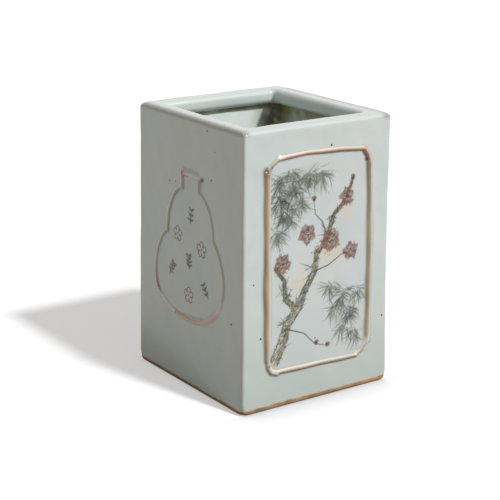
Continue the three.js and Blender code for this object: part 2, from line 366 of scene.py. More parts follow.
def bough(canvas, line, widths):
    """An old branch: a pale wash, a shaded side, dry broken edges and many small touches of bark."""
    line, widths = np.array(line, float), np.array(widths, float)
    canvas.stroke(line, widths * 1.15, BARK, 0.65, dry=0.1, soft=1.6)
    course = np.gradient(line, axis=0)
    course /= np.linalg.norm(course, axis=1, keepdims=True)
    aside = np.stack([-course[:, 1], course[:, 0]], axis=1)
    canvas.stroke(line - aside * widths[:, None] * 0.25, widths * 0.45, BARK_SHADE, 0.7, dry=0.4, soft=1.2)
    for way in (-0.5, 0.5):
        edge = line + aside * widths[:, None] * way
        canvas.stroke(edge, np.full(len(edge), 0.9), BARK_DARK, 0.85, dry=0.6)
    lengths = np.concatenate([[0], np.cumsum(np.linalg.norm(np.diff(line, axis=0), axis=1))])
    for run in np.arange(0, lengths[-1], BARK_TOUCH_STEP):
        x, z, dx, dz = [np.interp(run, lengths, values) for values in (*line.T, *course.T)]
        shift = rng.uniform(-0.62, 0.62) * np.interp(run, lengths, widths)
        x, z = x - dz * shift, z + dx * shift
        reach = rng.uniform(0.4, 2.0)
        colour = (BARK_DARK, INK, SOFT_INK, LEAF_OLIVE, BARK_DARK, BARK_SHADE)[rng.integers(6)]
        end = (x + dx * reach + rng.normal() * 0.9, z + dz * reach + rng.normal() * 0.9)
        canvas.stroke([(x, z), end], [0.6, 0.25], colour, rng.uniform(0.5, 0.9))


def twig(canvas, line):
    canvas.stroke(line, np.linspace(0.9, 0.405, len(line)), BARK_DARK, 0.95, dry=0.15)


def moss(canvas, middle, spread, count):
    for _ in range(count):
        at = np.array(middle) + rng.normal(size=2) * spread
        canvas.spot(*at, rng.uniform(0.3, 0.8), (INK, LEAF_OLIVE, SOFT_INK)[rng.integers(3)], 0.9, 0.6)


LEAVES = (LEAF_GREEN, LEAF_BLUE, LEAF_OLIVE, SOFT_INK, LEAF_PALE)
DARK_LEAVES = (LEAF_GREEN, SOFT_INK, INK, LEAF_OLIVE)


def paint_plum_and_bamboo(canvas):
    """The front panel: an old plum bough from the lower left, with bamboo leaves over and under it."""
    for middle, size in (((-20, 122), 12), ((12, 62), 8), ((20, 46), 10), ((-4, 128), 9), ((-24, 104), 9)):
        canvas.spot(*middle, size, WASH, 0.5, 0.0, soft=6, ragged=0.4)
    for middle, size in (((8, 86), 9), ((-12, 72), 7), ((18, 108), 7)):
        canvas.spot(*middle, size, BLUSH, 0.75, 0.1, soft=9, ragged=0.45)
    for root in ((-27, 131), (-18, 127), (-27, 119), (-8, 132), (-22, 110), (-13, 118), (-28, 101), (2, 131),
                 (-18, 134)):
        leaf_spray(canvas, root, math.radians(290), 2.0, 44, 11, LEAVES)
    for root in ((9, 66), (19, 60), (12, 52), (24, 50), (18, 40), (27, 35), (28, 60)):
        leaf_spray(canvas, root, math.radians(262), 1.8, 30, 10, LEAVES)
    bough(canvas, [(-30, 27), (-24, 38), (-21, 48), (-13, 57), (-9, 66), (-2, 76), (0, 88)],
          [6, 5.6, 4.6, 4.8, 3.4, 3.2, 2.2])
    bough(canvas, [(0, 86), (7, 95), (11, 107), (19, 114), (24, 126)], [2.4, 2, 1.8, 1.4, 0.9])
    bough(canvas, [(-14, 56), (-22, 63), (-23, 74), (-29, 82)], [3.2, 2.5, 1.9, 1.2])
    twig(canvas, [(7, 95), (3, 104), (-2, 109), (-3, 117)])
    twig(canvas, [(-2, 76), (8, 78), (17, 83), (24, 82)])
    twig(canvas, [(-22, 46), (-9, 41), (-1, 33), (6, 31)])
    for root in ((-16, 125), (-25, 122), (-24, 112), (17, 56), (22, 46), (-6, 130), (-19, 116), (-27, 127)):
        leaf_spray(canvas, root, math.radians(275), 1.7, 22, 9, DARK_LEAVES)
    for root in ((-12, 60), (-24, 68), (-22, 50), (-4, 78), (6, 98)):
        leaf_spray(canvas, root, math.radians(100), 2.4, 12, 7, LEAVES)
    blossoms = (((9, 92), 6.4), ((-7, 98), 5.6), ((23, 84), 5.0), ((-24, 84), 5.4), ((20, 116), 5.0))
    for middle, radius in blossoms:
        blossom(canvas, middle, radius)
    for middle, angle in (((-3, 118), 95), ((24, 127), 80), ((8, 31), -10), ((0, 34), 60)):
        bud(canvas, middle, math.radians(angle))
    for middle in ((-23, 45), (-8, 66), (-1, 86), (-20, 63), (10, 105)):
        moss(canvas, middle, 1.8, 12)
    for middle in ((-9, 60), (-11, 59), (-26, 92), (24, 50), (22, 47), (25, 46), (-6, 125)):
        canvas.spot(*middle, rng.uniform(0.6, 1.0), VIOLET, 0.8, 0.5)


def paint_bamboo(canvas):
    """The back panel: two bamboo stems with their leaves."""
    for line in ([(-16, 26), (-12, 56), (-10, 86), (-4, 122)], [(6, 26), (8, 52), (14, 88)]):
        canvas.stroke(line, np.linspace(2.4, 1.3, len(line)), LEAF_PALE, 0.9, dry=0.25)
        for share in np.linspace(0.1, 0.95, 7):
            x, z = along(line, share)
            canvas.stroke([(x - 1.5, z), (x + 1.5, z + 0.3)], [0.7, 0.4], INK, 0.8)
    for root in ((-4, 120), (-10, 100), (12, 92), (16, 76), (-12, 66), (8, 54)):
        leaf_spray(canvas, root, math.radians(275), 2.0, 24, 12, LEAVES)
        leaf_spray(canvas, root, math.radians(265), 1.6, 10, 10, DARK_LEAVES)


def sprig(canvas, middle, heading, colour, leaves):
    """A little stalk with pairs of leaves, one quick stroke each."""
    x, z = middle
    dx, dz = math.cos(heading), math.sin(heading)
    stalk = [(x - 4.4 * dx, z - 4.4 * dz), (x, z), (x + 4 * dx, z + 4 * dz)]
    canvas.stroke(stalk, [1.0, 0.9, 0.6], colour, 1.0)
    for share in np.linspace(-0.7, 0.8, leaves):
        base = (x + 4 * share * dx, z + 4 * share * dz)
        for way in (-1.0, 1.0):
            bamboo_leaf(canvas, base, heading + way, 3.4, 1.35, colour, 1.0)


def on_circle(middle, radius, angle):
    return (middle[0] + radius * math.cos(angle), middle[1] + radius * math.sin(angle))


def ring_flower(canvas, middle, radius, colour):
    """Five open petals drawn in one line each, round a dot."""
    for petal in range(5):
        angle = petal * 2 * math.pi / 5 + 0.3
        centre = on_circle(middle, 0.62 * radius, angle)
        edge = [on_circle(centre, 0.36 * radius, turn) for turn in angle + np.linspace(-2.4, 2.4, 9)]
        canvas.stroke(edge, np.linspace(0.95, 0.5, len(edge)), colour, 0.95)
    canvas.spot(*middle, 0.7, colour, 0.95, 0.8)


def paint_gourd(canvas):
    """Small sprigs and open blossoms set out down the gourd."""
    sprig(canvas, (2, 103), math.radians(80), INK, 3)
    ring_flower(canvas, (-12, 90), 4.6, RUST_DARK)
    ring_flower(canvas, (13, 86), 4.8, RUST_DARK)
    sprig(canvas, (0, 76), math.radians(95), RUST_DEEP, 4)
    sprig(canvas, (-18, 68), math.radians(60), RUST_DARK, 4)
    sprig(canvas, (17, 63), math.radians(125), INK, 3)
    ring_flower(canvas, (0, 56), 4.8, DARK_RED)


# Relief strips


class Strip:
    """A rolled clay strip luted to a wall.

    Tones are the colours along it: a share of its length, then the colours of its outer flank, its crest
    and its inner flank. They are its enamel, and some darker flanks also paint shade. Worn is how much of
    the enamel has gone, fades are how far it runs out flat at its start and end, and a gap is a share of
    its length and a half width where it is pinched flat.
    """

    def __init__(self, line, half_width, relief, tones, worn=0.0, fades=(0, 0), gap=None):
        self.line = np.array(line, float)
        self.half_width, self.relief = half_width, relief
        self.tones, self.worn, self.fades, self.gap = tones, worn, fades, gap
        self.length = math.fsum(math.hypot(*step) for step in np.diff(self.line, axis=0))
        self.phases = rng.uniform(0, 2 * math.pi, 4)

    def measure(self, across, up):
        """Half widths from the centre line, positive on its inner side, and millimetres run along it."""
        nearest = np.full(across.shape, np.inf)
        side = np.zeros(across.shape)
        run = np.zeros(across.shape)
        start = 0.0
        for (x, z), (next_x, next_z) in zip(self.line[:-1], self.line[1:]):
            length = math.hypot(next_x - x, next_z - z)
            dx, dz = (next_x - x) / length, (next_z - z) / length
            along_it = np.clip((across - x) * dx + (up - z) * dz, 0, length)
            off_x, off_z = across - x - along_it * dx, up - z - along_it * dz
            distance = np.hypot(off_x, off_z)
            closer = distance < nearest
            nearest = np.where(closer, distance, nearest)
            side = np.where(closer, np.where(dx * off_z - dz * off_x < 0, -1, 1), side)
            run = np.where(closer, start + along_it, run)
            start += length
        thick = 1 + 0.07 * np.sin(run / 5.3 + self.phases[0]) + 0.06 * np.sin(run / 11 + self.phases[1])
        return side * nearest / (self.half_width * thick), run

    def rise(self, share, run):
        """Height over the face before the fillet; it is negative beside the strip."""
        uneven = 1 + 0.09 * np.sin(run / 4.1 + self.phases[2]) + 0.1 * np.sin(run / 13 + self.phases[3])
        for fade, from_end in zip(self.fades, (run, self.length - run)):
            if fade:
                uneven = uneven * step_between(-0.25 * fade, 0.75 * fade, from_end)
        if self.gap:
            place, half = self.gap
            uneven = uneven * (1 - 0.8 * np.exp(-(((run - place * self.length) / half) ** 2)))
        return self.relief * uneven * (1 - share**2)

    def tone(self, run, column):
        """The enamel's colour along the strip on one of its three parts."""
        places = [stop[0] * self.length for stop in self.tones]
        colours = np.array([srgb(*stop[column]) for stop in self.tones])
        return np.stack([np.interp(run, places, channel) for channel in colours.T], axis=-1)

    def enamel(self, canvas, where, share, run):
        """Lays its colours where the strip's share of the surface is."""
        # The flank colours are enamel, and where they are dark they are partly painted shade
        inward = step_between(0.1, 1.0, share)[..., None]
        outward = step_between(0.1, 1.0, -share)[..., None]
        crest = self.tone(run, 2) * (1 - inward - outward)
        colour = self.tone(run, 1) * outward + crest + self.tone(run, 3) * inward
        across, up = canvas.crossings()
        patches = grain(across, up, 2.2, 17) * 0.6 + grain(across, up, 6.5, 23) * 0.4
        bare = min(5 * self.worn, 0.5) * step_between(0.75 - self.worn, 0.95, patches)
        beside = step_between(0.95, 1.3, np.abs(share))
        amount = (1 - beside) * (0.95 - bare)
        canvas.lay(EVERYWHERE, colour, np.where(where, amount, 0))


def relief(strips, across, up):
    """Height of the strips over the face, the strip that owns each crossing or -1, and their measures."""
    warp = np.stack([across, up], axis=-1)
    bent_across = across + swell(warp, LINE_WAVES[:3])
    bent_up = up + swell(warp, LINE_WAVES[3:])
    highest = np.full(across.shape, -np.inf)
    owner = np.full(across.shape, -1)
    shares, runs = [], []
    for number, strip in enumerate(strips):
        share, run = strip.measure(bent_across, bent_up)
        rise = strip.rise(share, run)
        better = rise > highest
        highest = np.where(better, rise, highest)
        owner = np.where(better, np.where(np.abs(share) < STRIP_REACH, number, -1), owner)
        shares.append(share)
        runs.append(run)
    height = (highest + np.sqrt(highest**2 + FILLET**2)) / 2
    return height, owner, shares, runs


# Enamel colours, 0 to 255
CREAM = (216, 209, 194)
WHITE = (232, 228, 218)
OLIVE = (164, 160, 134)


def panel_strips(side):
    """The eight strips of a framed panel, as the potter set them: nothing is quite square."""
    boxes = [box_of(f"{side}_panel_{place}_strip") for place in ("left", "top", "bottom")]
    (left_low, left_high), (top_low, top_high), (bottom_low, bottom_high) = boxes
    top = (top_low[2] + top_high[2]) / 2
    bottom = (bottom_low[2] + bottom_high[2]) / 2
    middle = (top + bottom) / 2
    reach = abs(left_low[0] + left_high[0]) / 2
    aside = 0.7  # the frame sits a little right of the middle
    left, right = aside - reach, aside + reach
    wide, high = PANEL_HALF_WIDTH, PANEL_RELIEF
    # The left strip's dark outer flank and the dark lower flanks of the top and bottom strips are partly
    # painted shade
    return {
        "right": Strip(
            [(right + 0.2, bottom + 7.6), (right + 0.5, middle), (right - 0.5, top - 18),
             (right - 1.1, top - 9)],
            wide, high,
            [(0, (212, 204, 194), (196, 190, 176), (182, 182, 166)),
             (0.12, (214, 200, 188), (182, 164, 142), OLIVE),
             (0.6, (212, 198, 186), (176, 158, 136), OLIVE),
             (1, (206, 180, 168), (166, 132, 112), (150, 132, 108))],
            worn=0.15, fades=(7, 0)),
        "top_right": Strip(
            [(right - 1.2, top - 8.2), (right - 2.6, top - 4.6), (right - 5.0, top - 1.3)],
            wide * 0.92, high * 0.9,
            [(0, (206, 160, 146), (164, 106, 88), (140, 112, 88))],
            worn=0.05),
        # Its dark lower flank is partly painted shade
        "top": Strip(
            [(right - 5.6, top - 0.9), (aside + 12, top + 0.2), (aside - 9, top + 0.6), (left + 7.6, top)],
            wide * 0.66, high * 0.62,
            [(0, (206, 206, 190), (156, 148, 124), (118, 112, 88)),
             (0.25, (218, 202, 188), (174, 126, 102), (104, 76, 60)),
             (0.9, (220, 206, 192), (178, 132, 108), (108, 82, 66)),
             (1, WHITE, CREAM, (150, 130, 108))],
            worn=0.12),
        "top_left": Strip(
            [(left + 7.4, top - 0.1), (left + 4.2, top - 2.4), (left + 1.0, top - 5.6)],
            wide * 0.55, high * 0.55,
            [(0, (206, 200, 172), (184, 174, 132), (120, 104, 72)),
             (1, (184, 180, 156), (156, 146, 106), (104, 92, 64))],
            worn=0.15),
        # Its dark outer flank is partly painted shade
        "left": Strip(
            [(left + 0.4, top - 6.2), (left - 0.2, middle), (left + 0.5, bottom + 9.6)],
            wide * 1.12, high * 1.05,
            [(0, (112, 100, 84), (140, 112, 90), (170, 142, 118)),
             (0.04, (138, 138, 122), (194, 160, 128), (218, 200, 176)),
             (0.9, (140, 140, 124), (194, 162, 132), (218, 202, 180)),
             (1, (130, 132, 122), (204, 184, 162), (220, 208, 192))],
            fades=(1.5, 0)),
        "bottom_left": Strip(
            [(left + 0.5, bottom + 9.2), (left + 1.4, bottom + 5.0), (left + 3.6, bottom + 1.8),
             (left + 7.4, bottom + 0.4)],
            wide * 0.8, high * 0.8,
            [(0, (132, 142, 130), (192, 180, 156), (212, 204, 188)),
             (1, (142, 144, 126), (192, 184, 162), (206, 202, 188))],
            worn=0.1),
        # Its dark lower flank is partly painted shade
        "bottom": Strip(
            [(left + 7.8, bottom + 0.8), (aside, bottom + 0.2), (right - 7.4, bottom - 0.8)],
            wide * 0.7, high * 0.7,
            [(0, (96, 82, 62), (150, 130, 108), (212, 203, 190))],
            worn=0.05),
        "bottom_right": Strip(
            [(right - 7.2, bottom - 0.5), (right - 3.4, bottom + 1.8), (right - 0.9, bottom + 5.6)],
            wide * 0.6, high * 0.5,
            [(0, CREAM, (196, 176, 156), (210, 202, 188)),
             (0.35, (180, 152, 132), (160, 128, 104), (204, 192, 176)),
             (1, (196, 178, 162), (180, 150, 128), (210, 202, 188))],
            worn=0.1, fades=(0, 1.5)),
    }


# Dark spots of enamel by the strips, and pale beads that are painted highlights: across, up, radius, colour
PANEL_SPOTS_AND_HIGHLIGHTS = [
    (-34.6, 137.2, 0.9, (86, 70, 54)),
    (-31.6, 138.9, 0.7, (92, 82, 58)),
    (33.0, 135.6, 1.0, (92, 56, 44)),
    (-33.2, 26.6, 0.9, (62, 82, 64)),
    # Painted highlights
    (-26.2, 144.6, 0.8, (238, 236, 228)),
    (28.9, 22.3, 0.6, (236, 232, 224)),
]
GOURD_BEADS = [
    (13.9, 126.3, 1.35, (10, 9, 8)),
    (-6.4, 126.6, 1.0, (146, 70, 54)),
    (-13.6, 41.9, 0.8, (150, 116, 96)),
]
SPOTS_AND_HIGHLIGHTS = {"front": PANEL_SPOTS_AND_HIGHLIGHTS, "back": [], "left": GOURD_BEADS, "right": GOURD_BEADS[1:]}

# The gourd's two sides: the lower bulb's middle height, half width and squareness, the waist's height and
# half width, the neck's half width and the upper bulb's squareness
GOURD_SIDES = {-1: (63.5, 35.3, 2.27, 90, 23.0, 7.3, 2.0), 1: (69.5, 35.8, 2.0, 94, 25.0, 10.9, 2.2)}
GOURD_BOTTOM = 41.2
GOURD_SHOULDER = 118.7
GOURD_LIP = 126.4


def bulb(middle, half, squareness, level, half_there, count=16):
    """A rounded arc from the middle height, half wide, up or down to a level with its half width there."""
    reach = abs(level - middle) / (1 - (half_there / half) ** squareness) ** (1 / squareness)
    end = math.asin(min(abs(level - middle) / reach, 1.0))
    way = 1 if level > middle else -1
    points = []
    for angle in np.linspace(0, end, count):
        rise = math.sin(angle)
        width = half * max(1 - rise**squareness, 0) ** (1 / squareness)
        points.append((width, middle + way * reach * rise))
    return points


def gourd_strips():
    """One strip for the lower bulb, one for each side of the upper bulb and of the neck, and the lip."""
    lower, upper, necks = {}, {}, {}
    for way, (middle, half, squareness, waist, waist_half, neck, roundness) in GOURD_SIDES.items():
        under = bulb(middle, half, squareness, GOURD_BOTTOM, 0)[::-1]
        over = bulb(middle, half, squareness, waist, waist_half)[1:]
        lower[way] = [(way * x, z) for x, z in under + over]
        upper[way] = [(way * x, z) for x, z in bulb(waist, waist_half, roundness, GOURD_SHOULDER, neck)]
        necks[way] = way * neck
    wide, high = GOURD_HALF_WIDTH, GOURD_RELIEF
    # The darker flanks are partly painted shade, most where they face right
    return {
        "upper_bulb_right": Strip(
            upper[1], wide * 0.75, high * 0.8,
            [(0, (164, 166, 158), (172, 174, 166), (198, 199, 190))],
            worn=0.05),
        "neck_right": Strip(
            [(necks[1], GOURD_SHOULDER), (necks[1] + 0.3, GOURD_LIP - 1.2)], wide * 1.2, high * 1.2,
            [(0, (178, 172, 172), (172, 162, 164), (190, 186, 182))],
            worn=0.05),
        "lip": Strip(
            [(necks[1] + 0.4, GOURD_LIP - 0.2), (necks[-1] + 1.8, GOURD_LIP + 0.2)], wide * 0.72, high * 1.25,
            [(0, (218, 214, 204), (218, 210, 196), (168, 150, 134)),
             (0.7, (220, 216, 206), (220, 212, 198), (150, 122, 106)),
             (1, (206, 170, 152), (190, 150, 132), (110, 62, 50))],
            worn=0.1),
        "neck_left": Strip(
            [(necks[-1] + 0.4, GOURD_LIP - 0.4), (necks[-1] + 0.3, GOURD_SHOULDER)], wide * 1.3, high * 1.2,
            [(0, (214, 128, 104), (212, 138, 112), (176, 126, 112)),
             (0.45, (212, 184, 174), (200, 180, 172), (160, 146, 140))],
            worn=0.05),
        "upper_bulb_left": Strip(
            upper[-1][::-1], wide * 1.05, high,
            [(0, (212, 198, 178), (192, 188, 174), (122, 120, 108)),
             (0.3, (220, 202, 180), (200, 200, 188), (126, 124, 112))],
            worn=0.05),
        "lower_bulb": Strip(
            lower[-1][::-1] + lower[1][1:], wide * 0.82, high * 0.9,
            [(0, (210, 200, 182), (196, 194, 182), (132, 130, 118)),
             (0.16, (216, 196, 182), (206, 190, 178), (164, 152, 142)),
             (0.22, (206, 164, 154), (188, 146, 136), (162, 130, 120)),
             (0.27, (182, 128, 120), (166, 116, 108), (152, 116, 108)),
             (0.31, WHITE, WHITE, (200, 192, 178)),
             (0.385, WHITE, WHITE, (196, 186, 170)),
             (0.41, (210, 166, 136), (208, 172, 142), (166, 124, 100)),
             (0.52, (214, 176, 148), (214, 182, 154), (176, 138, 116)),
             (0.69, (206, 166, 140), (214, 178, 152), (184, 150, 130)),
             (0.73, WHITE, (230, 214, 200), (212, 200, 186)),
             (0.78, (174, 170, 158), (184, 180, 168), (198, 194, 182)),
             (1, (170, 168, 156), (178, 176, 164), (196, 194, 184))],
            worn=0.05, gap=(0.395, 1.6)),
    }


# Walls

SIDES = {}
for number, side in enumerate(("front", "right", "back", "left")):
    halves, inner_halves = (HALF_X, HALF_Y), (INNER_X, INNER_Y)
    if number % 2:
        halves, inner_halves = halves[::-1], inner_halves[::-1]
    SIDES[side] = {
        "turn": 90 * number,
        "face_half": halves[0], "normal_half": halves[1],
        "inner_half": inner_halves[0], "inner_normal": inner_halves[1],
    }


def graded(low, fine_low, fine_high, high, step):
    """Places from low to high: coarse at both ends, and a step apart between fine_low and fine_high."""
    stretches = ((low, fine_low, COARSE_STEP), (fine_low, fine_high, step), (fine_high, high, COARSE_STEP))
    parts = []
    for start, end, pace in stretches:
        count = max(round((end - start) / pace), 1)
        parts.append(np.linspace(start, end, count + 1)[:-1])
    return np.concatenate([*parts, [high]])


def wall_grid(side, fine, step):
    """Columns as places across and angles round the corners, and rows, with a spare one on every side."""
    flat = SIDES[side]["face_half"] - LEAN - CORNER_RADIUS - CORNER_MARGIN
    flat_columns = graded(-flat, fine[0], fine[1], flat, step)
    bends = np.concatenate([CORNER_ANGLES, [SPARE_ANGLE]])
    round_corner = np.full(len(bends), flat + 1)
    columns = np.concatenate([-round_corner, flat_columns, round_corner])
    angles = np.concatenate([-bends[::-1], np.zeros(len(flat_columns)), bends])
    rows = graded(FOOT_SEAM, fine[2], fine[3], RIM_SEAM, step)
    rows = np.concatenate([[rows[0] - 1], rows, [rows[-1] + 1]])
    return columns, angles, rows


def face_points(side, across, angle, up, out):
    """Points of a side's outer face. Across and angle go by column, up by row; out is by crossing."""
    shape = SIDES[side]
    across, angle, up = across[None, :], angle[None, :], up[:, None]
    wide = shape["face_half"] + lean(up) - CORNER_RADIUS
    deep = shape["normal_half"] + lean(up) - CORNER_RADIUS
    x = np.where(angle == 0, across, np.sign(angle) * wide + CORNER_RADIUS * np.sin(angle))
    y = -deep - CORNER_RADIUS * np.cos(angle)
    points = turned(np.stack(np.broadcast_arrays(x, y, up), axis=-1), shape["turn"])
    normal = turned(np.stack([np.sin(angle), -np.cos(angle), np.zeros_like(angle)], axis=-1), shape["turn"])
    return settle(points + normal * (sway(points) + out)[..., None])


def grid_faces(rows, columns):
    """The quads of a grid, anticlockwise as seen with its columns to the right and its rows upwards."""
    corner = np.arange(rows * columns).reshape(rows, columns)
    quads = np.stack([corner[:-1, :-1], corner[:-1, 1:], corner[1:, 1:], corner[1:, :-1]], axis=-1)
    return quads.reshape(-1, 4)


def grid_normals(points):
    """Unit normals of a grid that has a spare row and column on every side."""
    rightwards = points[1:-1, 2:] - points[1:-1, :-2]
    upwards = points[2:, 1:-1] - points[:-2, 1:-1]
    normals = np.cross(rightwards, upwards)
    return normals / np.linalg.norm(normals, axis=-1, keepdims=True)


def border(rows, columns):
    """Indices round a grid's edge, anticlockwise."""
    corner = np.arange(rows * columns).reshape(rows, columns)
    return np.concatenate([corner[0, :-1], corner[:-1, -1], corner[-1, :0:-1], corner[:0:-1, 0]])


def place_piece(mesh, node):
    """Puts a finished mesh in the scene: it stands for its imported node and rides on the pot."""
    piece = bpy.data.objects.new(mesh.name, mesh)
    bpy.context.scene.collection.objects.link(piece)
    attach(piece, "root")
    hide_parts(node)


def no_paint(count):
    return np.zeros((count, 4))


def add_piece(name, node, points, faces, materials, normals, paint=None, material_numbers=None):
    """A piece from its points in millimetres, its faces, and a normal and perhaps the paint at each."""
    mesh = bpy.data.meshes.new(name)
    mesh.from_pydata((points * MM).tolist(), [], faces)
    for material in materials:
        mesh.materials.append(material)
    mesh.polygons.foreach_set("use_smooth", np.ones(len(mesh.polygons), bool))
    if material_numbers is not None:
        mesh.polygons.foreach_set("material_index", material_numbers)
    if paint is not None:
        layer = mesh.attributes.new("paint", "FLOAT_COLOR", "POINT")
        layer.data.foreach_set("color", paint.astype(np.float32).ravel())
    mesh.normals_split_custom_set_from_vertices(normals.tolist())
    place_piece(mesh, node)


def wall_back(side, columns, angles, rows):
    """The edge of a wall's inner face, in step with the edge of its outer one."""
    shape = SIDES[side]
    loop = border(len(rows), len(columns))
    bend = angles[loop % len(columns)]
    last_flat = columns[angles == 0].max()
    spread = np.where(bend == 0, columns[loop % len(columns)], np.sign(bend) * (last_flat + np.abs(bend)))
    x = spread / np.abs(spread).max() * shape["inner_half"]
    back = np.stack([x, np.full(len(loop), -shape["inner_normal"]), rows[loop // len(columns)]], axis=-1)
    return loop, turned(back, shape["turn"])


def add_wall(side, kind, strips, step, fine, paint_face, materials, enamel):
    """A wall slab and the strips on it, cut from one surface so that no seam shows between them."""
    columns, angles, rows = wall_grid(side, fine, step)
    across, up = np.meshgrid(columns, rows)
    height, owner, shares, runs = relief(list(strips.values()), across, up)
    inside = (slice(1, -1), slice(1, -1))

    def face(out):
        return face_points(side, columns, angles, rows, out)

    points = face(height)
    normals = grid_normals(points).reshape(-1, 3)
    outer = points[inside].reshape(-1, 3)
    sunk = face(np.full(across.shape, -STRIP_ROOT))[inside].reshape(-1, 3)
    hidden = face(np.full(across.shape, -HIDDEN_DROP))[inside].reshape(-1, 3)
    owner = owner[inside]
    shares = [share[inside] for share in shares]
    canvas = Canvas(columns[1:-1], rows[1:-1])
    paint_face(canvas, shares)
    for number, strip in enumerate(strips.values()):
        strip.enamel(canvas, owner == number, shares[number], runs[number][inside])
    # Dark spots of enamel, and on the front the painted highlights
    for mark_across, mark_up, radius, colour in SPOTS_AND_HIGHLIGHTS[side]:
        canvas.spot(mark_across, mark_up, radius, srgb(*colour), 0.95, 0.75, soft=0.7, ragged=0.2)
    paint = np.concatenate([canvas.colour, canvas.cover[..., None]], axis=-1).reshape(-1, 4)

    quads = grid_faces(*owner.shape)
    owned = owner.reshape(-1)[quads]
    quad_owner = np.where((owned == owned[:, :1]).all(axis=1), owned[:, 0], owned.max(axis=1))
    for number, place in enumerate(strips):
        add_strip(f"{side}_{kind}_{place}", quads[quad_owner == number], outer, sunk, normals, paint, enamel)

    touched = np.zeros(len(outer), bool)
    touched[quads[quad_owner < 0].reshape(-1)] = True
    outer = np.where(touched[:, None], outer, hidden)
    loop, back = wall_back(side, columns[1:-1], angles[1:-1], rows[1:-1])
    inner_loop = np.arange(len(outer), len(outer) + len(loop))
    skirt = np.stack([np.roll(loop, -1), loop, inner_loop, np.roll(inner_loop, -1)], axis=-1)
    faces = quads.tolist() + skirt.tolist() + [inner_loop[::-1].tolist()]
    material_numbers = np.zeros(len(faces), np.int32)
    material_numbers[-1] = 1  # the inner face
    inwards = turned(np.array([[0.0, 1.0, 0.0]]), SIDES[side]["turn"])
    add_piece(f"glazed_{side}_wall", f"{side}_wall", np.concatenate([outer, back]), faces, materials,
              np.concatenate([normals, np.repeat(inwards, len(back), axis=0)]),
              np.concatenate([paint, no_paint(len(back))]), material_numbers)


def add_strip(node, quads, outer, sunk, normals, paint, enamel):
    """The part of the surface that a strip owns, closed by a copy of it inside the wall."""
    used, corners = np.unique(quads, return_inverse=True)
    quads = corners.reshape(-1, 4)
    count = len(used)
    edges = np.concatenate([quads[:, [i, (i + 1) % 4]] for i in range(4)])
    forward = edges[:, 0] * count + edges[:, 1]
    backward = edges[:, 1] * count + edges[:, 0]
    rim = edges[~np.isin(forward, backward)]
    skirt = np.stack([rim[:, 1], rim[:, 0], rim[:, 0] + count, rim[:, 1] + count], axis=-1)
    faces = np.concatenate([quads, quads[:, ::-1] + count, skirt])
    points = np.concatenate([outer[used], sunk[used]])
    add_piece("enamelled_" + node, node, points, faces.tolist(), [enamel],
              np.concatenate([normals[used], -normals[used]]), np.concatenate([paint[used]] * 2))


# Rim and foot

# Steps along each side and round each corner of a ring's outline
PER_SIDE = 90
PER_CORNER = 8


def outline(half_x, half_y, radius):
    """A rectangle with rounded corners, anticlockwise: points and outward directions."""
    arcs = []
    for number, (way_x, way_y) in enumerate(((1, 1), (-1, 1), (-1, -1), (1, -1))):
        angles = np.linspace(number, number + 1, PER_CORNER + 1) * math.pi / 2
        outward = np.column_stack([np.cos(angles), np.sin(angles)])
        centre = np.array([way_x * (half_x - radius), way_y * (half_y - radius)])
        arcs.append((centre + radius * outward, outward))
    shares = np.linspace(0, 1, PER_SIDE + 1)[1:-1, None]
    points, outwards = [], []
    for (arc, outward), (next_arc, _) in zip(arcs, arcs[1:] + arcs[:1]):
        points += [arc, arc[-1] + (next_arc[0] - arc[-1]) * shares]
        outwards += [outward, np.repeat(outward[-1:], len(shares), axis=0)]
    return np.concatenate(points), np.concatenate(outwards)


def add_ring(name, node, levels, materials, shift=None):
    """A frame round the pot from its section's levels, which run up outside and in over the top.

    A level is (half_x, half_y, corner radius, height). The first and last are spare ones for the normals.
    """
    plans = [outline(*level[:3]) for level in levels]
    heights = np.array([level[3] for level in levels])
    outwards = np.array([outward for _, outward in plans])
    loops = zip(plans, heights)
    points = np.array([np.column_stack([plan, np.full(len(plan), height)]) for (plan, _), height in loops])
    course = np.gradient(np.array([(level[0], level[3]) for level in levels]), axis=0)
    course /= np.maximum(np.linalg.norm(course, axis=1, keepdims=True), 1e-9)
    out = sway(points) * step_between(0, 3, points[..., 2])
    points[..., :2] += outwards * (course[:, 1, None] * out)[..., None]
    points[..., 2] -= LEVEL_SWAY * course[:, 0, None] * out
    points = settle(points)
    if shift is not None:
        points = shift(points)
    normals = grid_normals(np.concatenate([points[:, -1:], points, points[:, :1]], axis=1))
    kept = points[1:-1]
    rows, columns = kept.shape[:2]
    index = np.arange(rows * columns).reshape(rows, columns)
    following = np.roll(index, -1, axis=1)
    faces = np.stack([index, following, np.roll(following, -1, axis=0), np.roll(index, -1, axis=0)], axis=-1)
    add_piece(name, node, kept.reshape(-1, 3), faces.reshape(-1, 4).tolist(), materials,
              normals.reshape(-1, 3), no_paint(rows * columns))


def quarter(radius, count=7):
    """A quarter turn: how far it has gone inwards and upwards, from an upright face to a level one."""
    angles = np.linspace(0, math.pi / 2, count)
    return [(radius * (1 - math.cos(angle)), radius * math.sin(angle)) for angle in angles]


def outer_level(height, inset=0.0):
    """The outside's outline at a height, drawn in by an inset."""
    reach = lean(height) - inset
    radius = CORNER_RADIUS + CORNER_SOFTENING * inset + FOOT_CORNER * step_between(FOOT_SEAM, 0, height)
    return (HALF_X + reach, HALF_Y + reach, radius, height)


def mouth_level(height, out=0.0):
    """The mouth's outline at a height, opened by out on every side."""
    return (HALF_X - RIM_WIDTH + out, HALF_Y - RIM_WIDTH + out, MOUTH_RADIUS + out, height)


def levels_between(start, end, count):
    """Levels evenly spaced between two, which are left out."""
    start, end = np.array(start), np.array(end)
    return [tuple(start + (end - start) * share) for share in np.linspace(0, 1, count + 2)[1:-1]]


